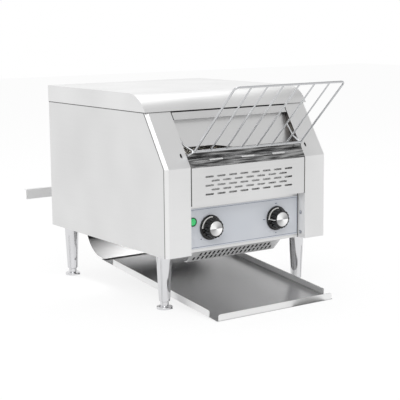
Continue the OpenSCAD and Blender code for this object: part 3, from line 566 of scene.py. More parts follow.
# bright crests of the lip's ribs: a painted highlight
RIB_HIGHLIGHT_STEEL = BrightStainless("painted_highlight_rib_crest", "polished_steel", "F4F4F4", 0.4)
LIP_STEEL = StreakedSteel("streaked_bright_steel", "polished_steel")
SCORCHED = ScorchedSteel("heat_dulled_mill_steel", "inner_steel")
BELT_WIRE = ScorchedSteel("drawn_belt_wire", "belt_steel", "CECBC4", "A29E9A", 0.3)
CHAIN_STEEL = ScorchedSteel("oiled_chain_steel", "inner_steel", "4A4845", "262628", 0.36)
BRONZE = ScorchedSteel("sintered_bronze", "bronze", "B98A4E", "8A6233", 0.4)
RACK_WIRE = ChromePlate("chromed_rack_wire", "chrome", "C9CACC", 0.14)
LEG_CHROME = ChromePlate("chromed_leg_tube", "chrome", "DADADC")
ZINC = ChromePlate("bright_zinc_plate", "zinc", "C4C6CB", 0.24)
BLACK_ABS = MouldedPlastic("black_moulded_abs", "black_plastic")
BLACK_GLOSS = MouldedPlastic("black_gloss_phenolic", "black_plastic", roughness=0.16, depth_mm=0.004)
FAN_PLASTIC = MouldedPlastic("black_glass_filled_nylon", "black_plastic", "141416", 0.45, depth_mm=0.03)
# black for the guard's hole walls and the sheet behind them: painted shade
HOLE_SHADE_BLACK = MouldedPlastic("black_painted_hole_shade", "inner_steel", "0A0A0A", 0.7, depth_mm=0.1)
LAMP_BEZEL = MouldedPlastic("deep_green_bezel", "black_plastic", "0C5A34", 0.2)
IVORY_PLASTIC = MouldedPlastic("ivory_melamine", "switch_plastic", "DDD6C2", 0.3)
# white for the pointer line and for the knobs' painted highlight arc
WHITE_MARK_AND_HIGHLIGHT = MouldedPlastic("white_mark_and_painted_highlight", "label", "EDEDEB", 0.4)
PRINT_INK = MouldedPlastic("blue_grey_screen_ink", "label", "5A6480", 0.45)
BORDER_INK = MouldedPlastic("grey_screen_ink", "label", "6C7690", 0.45)
CERAMIC = MouldedPlastic("glazed_steatite", "ceramic", "EDE7DA", 0.22, skin_mm=3.0)
OVERLAY = PrintedOverlay("polyester_overlay", "label")
LENS = LampGlass("green_polycarbonate", "lens")
QUARTZ = Quartz("frosted_quartz", "quartz")
ENAMEL = GreyEnamel("grey_hammer_enamel", "cast_metal")


# ---------------------------------------------------------------- mesh tools


def piece(
    name: str,
    mesh: BMesh | bpy.types.ID,
    finish: Finish,
    body: str = "housing",
    stands_for: Iterable[str] = (),
    smooth_deg: float = 35.0,
    accents: Sequence[Finish] = (),
) -> bpy.types.Object:
    """Turn a mesh or curve into a piece of the object.

    Args:
        name: the piece's name.
        mesh: a bmesh, which is freed, or curve data.
        finish: what covers it.
        body: the body that it rides on.
        stands_for: the frame's nodes that it replaces.
        smooth_deg: edges flatter than this are shaded smooth.
        accents: the finishes of the material slots after the first.

    Returns:
        The piece's object.
    """
    if isinstance(mesh, BMesh):
        data = bpy.data.meshes.new(name)
        bmesh.ops.recalc_face_normals(mesh, faces=mesh.faces)
        mesh.to_mesh(data)
        mesh.free()
        data.shade_smooth()
        data.set_sharp_from_angle(angle=math.radians(smooth_deg))
    else:
        data = mesh
    made = bpy.data.objects.new(name, data)
    if data is not mesh:  # keeps flat sheet flat where a small bend runs along it
        made.modifiers.new("flat_faces", "WEIGHTED_NORMAL").keep_sharp = True
    bpy.context.scene.collection.objects.link(made)
    for covering in (finish, *accents):
        data.materials.append(covering.material())
    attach(made, body)
    nodes = list(stands_for)
    if nodes:
        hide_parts(*nodes)
    LOG.info("%s: %s, on %s", name, finish.name, body)
    return made


def softened(node: str, edge_mm: float, shortest_mm: float = 0.0, bend_mm: float = 0.0) -> BMesh:
    """Copy a node's mesh with every sharp edge broken, as a bent or deburred edge is.

    Args:
        node: the frame's node.
        edge_mm: how far the edge is cut back.
        shortest_mm: shorter edges, such as the chords of a screw hole's rim, stay sharp.
        bend_mm: how far a long bend is cut back, where it is rounder than the other edges.

    Returns:
        The new mesh.
    """
    mesh = bmesh.new()
    mesh.from_mesh(bpy.data.objects[node].data)
    bmesh.ops.remove_doubles(mesh, verts=mesh.verts, dist=1e-6)
    bmesh.ops.dissolve_limit(mesh, angle_limit=math.radians(0.6), verts=mesh.verts, edges=mesh.edges)
    bmesh.ops.dissolve_degenerate(mesh, dist=0.02 * MM, edges=mesh.edges)
    sharp_from, bend_below, long_from = math.radians(28), math.radians(60), 50 * MM
    sharp = [
        edge
        for edge in mesh.edges
        if len(edge.link_faces) == 2
        and edge.calc_face_angle(0.0) > sharp_from
        and edge.calc_length() > shortest_mm * MM
    ]
    ways = {"affect": "EDGES", "clamp_overlap": True}
    if bend_mm:  # outer bends that turn the sheet by less than a right angle
        bends = [
            edge
            for edge in sharp
            if edge.calc_face_angle(0.0) < bend_below and edge.is_convex and edge.calc_length() > long_from
        ]
        made = bmesh.ops.bevel(mesh, geom=bends, offset=bend_mm * MM, segments=3, **ways)
        for edge in {edge for face in made["faces"] for edge in face.edges}:
            edge.smooth = True
        sharp = [edge for edge in sharp if edge.is_valid and edge.calc_face_angle(0.0) > sharp_from]
    bmesh.ops.bevel(mesh, geom=sharp, offset=edge_mm * MM, segments=2, profile=0.6, **ways)
    return mesh


def lathe(
    profile_mm: Sequence[Sequence[float]], steps: int, flute: Callable[[float], float] | None = None
) -> BMesh:
    """Turn a profile round +Z.

    Args:
        profile_mm: (radius, height) from one end to the other, and with flutes how deep they are there.
            A radius of 0 closes an end.
        steps: faces round the axis.
        flute: what the flutes add to the radius at an angle, as a share of their depth.

    Returns:
        The turned mesh.
    """
    mesh = bmesh.new()
    rings: list[list[bmesh.types.BMVert]] = []
    turn = 2 * math.pi / steps
    for radius, height, *depth in profile_mm:
        if radius <= 0:
            rings.append([mesh.verts.new((0, 0, height * MM))])
            continue
        ring = []
        for i in range(steps):
            reach = (radius + (depth[0] * flute(i * turn) if flute else 0.0)) * MM
            ring.append(mesh.verts.new((reach * math.cos(i * turn), reach * math.sin(i * turn), height * MM)))
        rings.append(ring)
    for low, high in zip(rings, rings[1:]):
        for i in range(steps):
            j = (i + 1) % steps
            corners = [low[i % len(low)], low[j % len(low)], high[j % len(high)], high[i % len(high)]]
            unique = list(dict.fromkeys(corners))
            if len(unique) > 2:
                mesh.faces.new(unique)
    return mesh


def placed(mesh: BMesh, matrix: Matrix) -> BMesh:
    """Move a mesh by a matrix and return it."""
    bmesh.ops.transform(mesh, matrix=matrix, verts=mesh.verts)
    return mesh


def merged(meshes: Iterable[BMesh]) -> BMesh:
    """Put several meshes into one.

    Args:
        meshes: the meshes, which are freed.

    Returns:
        The one mesh.
    """
    whole = bmesh.new()
    for part in meshes:
        held = bpy.data.meshes.new("held")
        part.to_mesh(held)
        part.free()
        whole.from_mesh(held)
        bpy.data.meshes.remove(held)
    return whole


def block(low: Sequence[float], high: Sequence[float]) -> BMesh:
    """Make a block.

    Args:
        low: one corner.
        high: the corner across from it.

    Returns:
        The block.
    """
    mesh = bmesh.new()
    bmesh.ops.create_cube(mesh, size=1.0)
    middle = [(a + b) / 2 for a, b in zip(low, high)]
    size = [abs(b - a) for a, b in zip(low, high)]
    return placed(mesh, Matrix.LocRotScale(Vector(middle), None, Vector(size)))


def rounded_path(points: Sequence[Vector], radius: float, steps: int) -> list[Vector]:
    """Round the inner corners of a path.

    Args:
        points: the path's corners.
        radius: the bend's radius, cut down where a leg is short.
        steps: points in each bend.

    Returns:
        The rounded path.
    """
    path = [points[0]]
    for before, corner, after in zip(points, points[1:], points[2:]):
        a, b = (before - corner), (after - corner)
        reach = min(radius * math.tan((math.pi - a.angle(b)) / 2), a.length * 0.45, b.length * 0.45)
        start, end = corner + a.normalized() * reach, corner + b.normalized() * reach
        for i in range(steps + 1):
            t = i / steps
            path.append(start * (1 - t) ** 2 + corner * 2 * t * (1 - t) + end * t**2)
    path.append(points[-1])
    return path


def wires(name: str, paths: Iterable[Sequence[Vector]], radius: float, sides: int = 4) -> bpy.types.Curve:
    """Round wire along one or more paths, as one curve.

    Args:
        name: the curve's name.
        paths: the middle lines.
        radius: the wire's radius in metres.
        sides: a quarter of the wire's faces, less one.

    Returns:
        The curve's data.
    """
    curve = bpy.data.curves.new(name, "CURVE")
    curve.dimensions = "3D"
    curve.bevel_depth = radius
    curve.bevel_resolution = sides
    curve.use_fill_caps = True
    for path in paths:
        spline = curve.splines.new("POLY")
        spline.points.add(len(path) - 1)
        for point, where in zip(spline.points, path):
            point.co = (*where, 1.0)
    return curve


# Turns +Z, a turned part's axis, to face out of the front.
FACING_FRONT = Matrix.Rotation(math.radians(90), 4, "X")


@dataclass(frozen=True)
class Span:
    """The box of one of the frame's nodes."""

    low: Vector
    high: Vector

    @staticmethod
    def of(node: str) -> Span:
        """Read a node's box from the frame."""
        return Span(*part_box(node))

    @property
    def middle(self) -> Vector:
        """The box's centre."""
        return (self.low + self.high) / 2

    @property
    def size(self) -> Vector:
        """The box's three sizes."""
        return self.high - self.low


# Says of a face of a node, from the node's box and the face, whether a patch covers it.
Choice = Callable[[Span, BMFace], bool]


@dataclass(frozen=True)
class Sheet:
    """A sheet part, with the patches whose finish differs from the rest of it."""

    node: str
    finish: Finish
    patches: Sequence[tuple[Finish, Choice]] = ()
    edge_mm: float = 0.4
    shortest_mm: float = 0.0
    bend_mm: float = 0.0

    def build(self, name: str = "", body: str = "housing") -> None:
        """Make the part again with its edges broken and its patches painted.

        Args:
            name: the piece's name, where it isn't the node's with "_sheet".
            body: the body that it rides on.
        """
        mesh = softened(self.node, self.edge_mm, self.shortest_mm, self.bend_mm)
        mesh.normal_update()
        box = Span.of(self.node)
        for slot, (_, chosen) in enumerate(self.patches, start=1):
            for face in mesh.faces:
                if chosen(box, face):
                    face.material_index = slot
        accents = [finish for finish, _ in self.patches]
        piece(name or f"{self.node}_sheet", mesh, self.finish, body, [self.node], accents=accents)


# ---------------------------------------------------------------- the machine's sub-assemblies


# The narrow faces along a bend, in a hole and on a rib's crest are smaller than this, in square metres.
BEND_AREA, HOLE_AREA, RIB_AREA = 2e-4, 3e-5, 1.5e-4


def on_inner_return(box: Span, face: BMFace) -> bool:
    """Whether a face is on a side panel's return flange, the part of the panel nearest the middle."""
    inner = min(abs(box.low.x), abs(box.high.x)) + 1 * MM
    return abs(face.normal.x) > 0.9 and abs(face.calc_center_median().x) < inner


def on_rear_flange(box: Span, face: BMFace) -> bool:
    """Whether a face is on the vent panel's flange behind the slots."""
    return abs(face.normal.y) > 0.9 and face.calc_center_median().y > box.low.y + 5 * MM


def on_bend_line(box: Span, face: BMFace) -> bool:
    """Whether a face is one of the narrow ones along the two bends of a side panel's bevel."""
    return abs(face.normal.x) > 0.2 and face.normal.y < -0.2 and face.calc_area() < BEND_AREA


SIDE_PATCHES = (
    (FACE_STEEL, lambda box, face: face.normal.y < -0.8),  # the front flange
    # the bevel carries a painted highlight
    (BEVEL_HIGHLIGHT_STEEL, lambda box, face: abs(face.normal.x) > 0.5 and face.normal.y < -0.5),  # the bevel
    # the narrow faces along the bends carry painted shade
    (BEND_SHADE_LINE, on_bend_line),
    # the return flange carries painted light
    (PAINTED_LIGHT_RETURN, on_inner_return),
)
SKIRTS = ((HOUSING_STEEL, lambda box, face: abs(face.normal.x) > 0.7),)  # ground the same way as the sides
# the walls of the guard's holes are painted black: painted shade
HOLE_WALLS = ((HOLE_SHADE_BLACK, lambda box, face: face.calc_area() < HOLE_AREA),)
# the rib crests carry a painted highlight
RIB_CRESTS = ((RIB_HIGHLIGHT_STEEL, lambda box, face: face.normal.y < -0.5 and face.calc_area() < RIB_AREA),)
# the flange behind the vent slots carries painted light
REAR_FLANGE = ((PAINTED_LIGHT_RETURN, on_rear_flange),)


@dataclass
class Housing:
    """The stainless casing: roof, sides, back and floor, and the panels of its front."""

    sheets: tuple[Sheet, ...] = (
        Sheet("roof_cover", FACE_STEEL, SKIRTS),
        Sheet("side_panel_left", SIDE_STEEL, SIDE_PATCHES, shortest_mm=1.5, bend_mm=1.0),
        Sheet("side_panel_right", SIDE_STEEL, SIDE_PATCHES, shortest_mm=1.5, bend_mm=1.0),
        Sheet("rear_panel", FACE_STEEL),
        Sheet("base_plate", FACE_STEEL),
        Sheet("header_strip", PANEL_STEEL),
        Sheet("vent_panel", PANEL_STEEL, REAR_FLANGE),
        Sheet("control_panel", PANEL_STEEL),
        Sheet("control_cover", FACE_STEEL),
        Sheet("lower_guard", GUARD_STEEL, HOLE_WALLS),
        Sheet("feed_lip", LIP_STEEL, RIB_CRESTS),
        Sheet("feed_shield", SHIELD_STEEL),
        Sheet("rear_spacer", FLANGE_STEEL),
        Sheet("tray_rest", FACE_STEEL),
    )
    shade_top_mm: Point = (1.0, 4.2, -1.4)  # from the guard's left end, front and top
    shade_foot_mm: Point = (1.0, 20.6, 3.4)  # from its left end, front and foot
    shade_depth_mm: Point = (0.0, 0.5, 0.5)

    def build(self) -> None:
        """Make the sheet parts, then the screen in the guard."""
        for sheet in self.sheets:
            sheet.build()
        self.guard_hole_shade()

    def guard_hole_shade(self) -> None:
        """A black sheet just behind the guard's holes: painted shade, so that the holes read dark."""
        guard = Span.of("lower_guard")
        top = Vector((guard.low.x, guard.low.y, guard.high.z)) + Vector(self.shade_top_mm) * MM
        foot = guard.low + Vector(self.shade_foot_mm) * MM
        across = Vector((guard.size.x - 2 * self.shade_top_mm[0] * MM, 0.0, 0.0))
        leaned = Matrix((across, foot - top, Vector(self.shade_depth_mm) * MM)).transposed().to_4x4()
        shade_sheet = placed(block((0.0, 0.0, 0.0), (1.0, 1.0, 1.0)), Matrix.Translation(top) @ leaned)
        piece("guard_hole_shade", shade_sheet, HOLE_SHADE_BLACK)


@dataclass
class FeedRack:
    """The chromed wire rack that bread slides down, with the two arms that carry it.

    Its points are measured in millimetres from the middle of the housing's front, at the lip's height.
    """

    length: float = 168.5 * MM
    angle_deg: float = 44.4
    half: float = 120.4 * MM
    frame_wire: float = 4.0 * MM
    rod_wire: float = 3.0 * MM
    bar_wire: float = 5.0 * MM
    bar_overhang: float = 4.0 * MM
    corner: float = 9.0 * MM
    arm_bend: float = 4.0 * MM
    rods: int = 6
    foot_mm: Point = (0.0, 2.5, 4.0)
    pin_mm: Point = (127.4, 49.96, 35.0)
    pin_end_mm: Point = (138.0, 49.96, 35.0)
    knee_mm: Point = (125.6, 28.96, 13.5)
    rest_mm: Point = (128.4, 11.1, -3.0)

    def build(self) -> None:
        """Bend the frame, then lay the rods, the crossbar and the arms that end in the hinge's pins."""
        origin = Vector((0.0, Span.of("vent_panel").low.y, Span.of("feed_lip").high.z))
        foot = origin + Vector(self.foot_mm) * MM
        angle = math.radians(self.angle_deg)
        top = Vector((0.0, -math.cos(angle), math.sin(angle))) * self.length
        across = Vector((1.0, 0.0, 0.0))
        left, right = foot - across * self.half, foot + across * self.half
        frame_path = rounded_path([left, left + top, right + top, right], self.corner, 10)
        pitch = 2 * self.half / (self.rods + 1)
        starts = [left + across * pitch * i for i in range(1, self.rods + 1)]
        rods = [[start, start + top] for start in starts]
        arms = []
        for side, start in ((-1, left), (1, right)):
            knee, pin, end, rest = (
                origin + Vector((side * x, y, z)) * MM
                for x, y, z in (self.knee_mm, self.pin_mm, self.pin_end_mm, self.rest_mm)
            )
            arms.append(rounded_path([start, knee, pin, end], self.arm_bend, 8))
            arms.append([start, rest])
        bar_end = across * (self.half + self.bar_overhang)
        curves = {
            "rack_frame": wires("rack_frame", [frame_path], self.frame_wire / 2),
            "rack_rods": wires("rack_rods", rods + arms, self.rod_wire / 2),
            "rack_crossbar": wires("rack_crossbar", [[foot - bar_end, foot + bar_end]], self.bar_wire / 2),
        }
        for name, curve in curves.items():
            piece(name, curve, RACK_WIRE, "feed_rack", ["feed_rack"] if name == "rack_frame" else [])


@dataclass
class Belt:
    """The wire belt: cross rods joined by short links, round the two shafts' wheels."""

    wire: float = 2.4 * MM
    link_wire: float = 1.7 * MM
    link_half: float = 2.6 * MM
    play: float = 0.2 * MM
    rods: int = 56
    links: int = 12

    def build(self) -> None:
        """Lay the rods and links along the belt's oval."""
        span = Span.of("conveyor_belt")
        radius = span.size.z / 2 - self.wire / 2 - self.play
        high, rear = span.middle.z, span.high.y - span.size.z / 2
        front = span.low.y + span.size.z / 2
        straight, turn = rear - front, math.pi * radius
        total = 2 * (straight + turn)

        def at(along: float) -> tuple[float, float]:
            """Follow the belt's middle line.

            Args:
                along: how far, from the top over the front shaft towards the rear.

            Returns:
                The point's Y and Z.
            """
            along %= total
            if along < straight:
                return front + along, high + radius
            if along < straight + turn:
                angle = math.pi / 2 - (along - straight) / radius
                return rear + radius * math.cos(angle), high + radius * math.sin(angle)
            if along < 2 * straight + turn:
                return rear - (along - straight - turn), high - radius
            angle = -math.pi / 2 - (along - 2 * straight - turn) / radius
            return front + radius * math.cos(angle), high + radius * math.sin(angle)

        low_x, high_x = span.low.x, span.high.x
        pitch = total / self.rods
        rods, links = [], []
        for i in range(self.rods):
            here, there = at((i + 0.5) * pitch), at((i + 1.5) * pitch)
            rods.append([Vector((low_x, *here)), Vector((high_x, *here))])
            ends = []
            for k in range(self.links):  # the links of every other row stand between those of the last
                share = (k + (0.35 if i % 2 else 0.65)) / self.links
                x = low_x + share * (high_x - low_x)
                ends += [x - self.link_half, x + self.link_half]
            ends += [low_x + self.wire / 2, high_x - self.wire / 2]
            links += [[Vector((x, *here)), Vector((x, *there))] for x in ends]
        rods_curve = wires("belt_rods", rods, self.wire / 2, 2)
        piece("belt_rods", rods_curve, BELT_WIRE, stands_for=["conveyor_belt"])
        piece("belt_links", wires("belt_links", links, self.link_wire / 2, 1), BELT_WIRE)


@dataclass
class Knob:
    """A fluted control knob: skirt and grip in one moulding, a pointer and a spun cap. Sizes are in mm."""

    body: str
    pointer_deg: float
    skirt: float = 23.0
    skirt_top: float = 4.0
    grip: float = 18.0
    grip_top: float = 18.0
    flutes: int = 16
    cap: float = 13.5
    cap_top: float = 19.2
    arc_deg: tuple[float, float] = (82.0, 180.0)  # from the viewer's right and up
    arc_steps: int = 28

    def moulding(self) -> BMesh:
        """Turn the skirt and the fluted grip.

        Returns:
            The moulding, standing on the x-y plane.
        """

        def flute(angle: float) -> float:
            """Rounded ridges with sharp valleys between them."""
            return abs(math.cos(self.flutes * angle / 2)) ** 0.7 - 1.0

        skirt, grip, top = self.skirt, self.grip, self.grip_top
        profile = [
            (0.0, 0.0, 0.0), (skirt - 0.3, 0.0, 0.0), (skirt, 0.3, 0.0), (skirt - 0.1, 1.6, 0.0),
            (skirt - 0.6, 3.0, 0.0), (skirt - 1.3, 3.8, 0.0), (skirt - 1.8, self.skirt_top, 0.0),
            (grip + 0.4, self.skirt_top, 0.0), (grip, 5.0, 1.9), (grip - 0.2, top - 2.0, 1.9),
            (grip - 0.7, top - 0.6, 1.7), (grip - 1.6, top, 0.8), (0.0, top, 0.0),
        ]
        return lathe(profile, 192, flute)

    def painted_highlight_arc(self) -> BMesh:
        """Lay a white arc on the skirt's face, narrower at its start: a painted highlight that stays still
        when the knob turns.

        Returns:
            A thin filled band that stands over the x-y plane like the moulding.
        """
        start_deg, end_deg = self.arc_deg
        steps = self.arc_steps
        mesh = bmesh.new()
        rings = []
        low, high = self.skirt_top - 0.1, self.skirt_top + 0.12
        for i in range(steps + 1):
            turn = math.radians(start_deg + (end_deg - start_deg) * i / steps)
            inner, outer = self.grip + 0.5, self.skirt - (2.6 - 0.8 * i / steps)
            rings.append([
                mesh.verts.new((reach * MM * math.cos(turn), reach * MM * math.sin(turn), height * MM))
                for reach, height in ((inner, low), (outer, low), (outer, high), (inner, high))
            ])
        for first, last in zip(rings, rings[1:]):
            for i in range(4):
                mesh.faces.new((first[i], first[(i + 1) % 4], last[(i + 1) % 4], last[i]))
        mesh.faces.new(rings[0])
        mesh.faces.new(rings[-1])
        return mesh

    def pointer(self) -> BMesh:
        """Lay the white line over the skirt, up the grip and onto its end.

        Returns:
            The line, pointing along +X.
        """
        half = 0.6
        bars = ((18.2, 3.6, 22.2, 4.2), (17.4, 4.2, 18.25, 17.0), (16.2, 17.0, 17.9, 18.1))
        return merged(
            block((x0 * MM, -half * MM, z0 * MM), (x1 * MM, half * MM, z1 * MM)) for x0, z0, x1, z1 in bars
        )

    def build(self) -> None:
        """Stand the knob on its spindle, with the pointer at its rest angle."""
        node = Span.of(self.body)
        centre = Vector((node.middle.x, node.high.y, node.middle.z))
        stand = Matrix.Translation(centre) @ FACING_FRONT
        turn = stand @ Matrix.Rotation(math.radians(self.pointer_deg), 4, "Z")
        moulding = placed(self.moulding(), turn)
        piece(f"{self.body}_moulding", moulding, BLACK_GLOSS, self.body, [self.body], 50.0)
        # the pointer turns with the knob; the white arc is a painted highlight set by the stand
        marks = merged([placed(self.pointer(), turn), placed(self.painted_highlight_arc(), stand)])
        piece(f"{self.body}_pointer", marks, WHITE_MARK_AND_HIGHLIGHT, self.body)
        cap, low, top = self.cap, self.grip_top, self.cap_top
        rim = [(cap - 0.1, low), (cap, low + 0.2), (cap, top - 0.6), (cap - 0.4, top - 0.1), (cap - 0.8, top)]
        disc = lathe([(0.0, low), *rim, (0.0, top)], 96)
        spun = TurnedAluminium(f"spun_aluminium_{self.body}", "cap_aluminium", centre=tuple(centre))
        piece(f"{self.body}_cap_disc", placed(disc, stand), spun, self.body, [f"{self.body}_cap"])


@dataclass
class ControlFace:
    """The printed overlay with its border and dial marks, and the power lamp."""

    border_inset: float = 2.4 * MM
    border_line: float = 0.7 * MM
    dial_radius: float = 28.0 * MM
    dial_line: float = 1.4 * MM
    ink: float = 0.06 * MM
    lens_mm: float = 6.35

    def line(self, low_x: float, low_z: float, high_x: float, high_z: float) -> BMesh:
        """A printed bar on the overlay's face."""
        face = Span.of("control_label").low.y
        return block((low_x, face - self.ink, low_z), (high_x, face + self.ink, high_z))

    def border(self) -> None:
        """A thin printed frame a little inside the overlay's edge."""
        label = Span.of("control_label")
        inset, thick = self.border_inset, self.border_line
        x0, x1 = label.low.x + inset, label.high.x - inset
        z0, z1 = label.low.z + inset, label.high.z - inset
        bars = [
            self.line(x0, z0, x1, z0 + thick),
            self.line(x0, z1 - thick, x1, z1),
            self.line(x0, z0, x0 + thick, z1),
            self.line(x1 - thick, z0, x1, z1),
        ]
        piece("overlay_border", merged(bars), BORDER_INK)

    def dial(self, knob: str, clock_deg: Sequence[float], length: float, name: str) -> None:
        """Short printed marks round a knob.

        Args:
            knob: the knob's node.
            clock_deg: where the marks lie, clockwise from twelve o'clock.
            length: the marks' length.
            name: the piece's name.
        """
        centre = Span.of(knob).middle
        long, high = length / 2, self.dial_line / 2
        marks = []
        for clock in clock_deg:
            x = centre.x + self.dial_radius * math.sin(math.radians(clock))
            z = centre.z + self.dial_radius * math.cos(math.radians(clock))
            marks.append(self.line(x - long, z - high, x + long, z + high))
        piece(name, merged(marks), PRINT_INK)

    def lamp(self) -> None:
        """The bezel ring and the domed lens."""
        node = Span.of("lamp_body")
        radius = node.size.x / 2 / MM
        centre = Vector((node.middle.x, Span.of("control_label").low.y, node.middle.z))
        stand = Matrix.Translation(centre) @ FACING_FRONT
        bore = [(5.9, -6.0), (5.9, 0.0)]
        outside = [(radius - 0.1, 0.0), (radius, 0.2), (radius - 0.2, 1.2), (radius - 0.8, 1.5)]
        inside = [(radius - 1.7, 1.3), (radius - 1.9, 0.4)]
        piece("lamp_bezel", placed(lathe(bore + outside + inside, 64), stand), LAMP_BEZEL)
        turns = [math.radians(10 * i) for i in range(9)]
        curve = [(self.lens_mm * math.cos(turn), 0.8 + 3.1 * math.sin(turn)) for turn in turns]
        dome = lathe([(self.lens_mm, 0.3), *curve, (0.0, 3.95)], 64)
        piece("lamp_dome", placed(dome, stand), LENS, stands_for=["lamp_lens"])

    def build(self) -> None:
        """Print the overlay and set the lamp in it."""
        self.border()
        self.dial("heat_knob", (0.0, 270.0), 5.0 * MM, "heat_dial_dashes")
        self.dial("heat_knob", (180.0,), 2.4 * MM, "heat_dial_dot")
        self.dial("speed_knob", (135.0, 225.0), 2.4 * MM, "speed_dial_dots")
        self.lamp()


def on_flange(box: Span, face: BMFace) -> bool:
    """Whether a face of the tray stands upright at its sides or ends."""
    return abs(face.normal.x) > 0.6 or abs(face.normal.y) > 0.8


@dataclass
class CatchTray:
    """The pressed tray in front, with brushed flanges, and the rolled ramp behind it."""

    tray: Sheet = Sheet("catch_tray", TRAY_STEEL, ((FLANGE_STEEL, on_flange),), edge_mm=0.3)
    ramp: Sheet = Sheet("discharge_ramp", RAMP_STEEL_PAINTED_SHADE, edge_mm=0.2)

    def build(self) -> None:
        """Press the tray and roll the ramp."""
        self.tray.build("tray_sheet", "catch_tray")
        self.ramp.build("ramp_sheet")


@dataclass
class Legs:
    """Four tapered chromed legs on screw-in feet. Sizes are in millimetres, and radii but for the length."""

    low: float = 10.4
    top: float = 14.7
    bore: float = 5.2
    pad: float = 15.0
    hub: float = 8.0
    stud: float = 5.0
    stud_length: float = 20.0

    def build(self) -> None:
        """Turn a leg and a foot for each corner."""
        low, top, pad, hub = self.low, self.top, self.pad, self.hub
        seat = Span.of("base_plate").low.z / MM
        for where in CORNERS:
            leg_node, foot_node = f"leg_{where}", f"foot_{where}"
            leg = Span.of(leg_node)
            stand = Matrix.Translation((leg.middle.x, leg.middle.y, 0.0))
            foot_top = leg.low.z / MM
            tube = [
                (self.bore, foot_top), (low - 0.9, foot_top), (low - 0.2, foot_top + 0.4),
                (low, foot_top + 1.2), (top - 0.3, seat - 3.0), (top, seat - 1.6), (top - 0.1, seat - 0.2),
                (top - 0.6, seat), (0.0, seat),
            ]
            piece(f"{leg_node}_tube", placed(lathe(tube, 96), stand), LEG_CHROME, stands_for=[leg_node])
            foot = [
                (0.0, 0.0), (pad - 1.0, 0.0), (pad - 0.2, 0.3), (pad, 1.2), (pad, 3.4), (pad - 0.5, 4.3),
                (pad - 2.0, 5.3), (hub + 1.0, 5.6), (hub, 6.4), (hub, foot_top - 1.2),
                (hub - 0.6, foot_top - 0.3), (self.stud, foot_top - 0.3),
                (self.stud, foot_top + self.stud_length),
            ]
            piece(f"{foot_node}_pad", placed(lathe(foot, 96), stand), LEG_CHROME, foot_node, [foot_node])


# ---------------------------------------------------------------- the studio


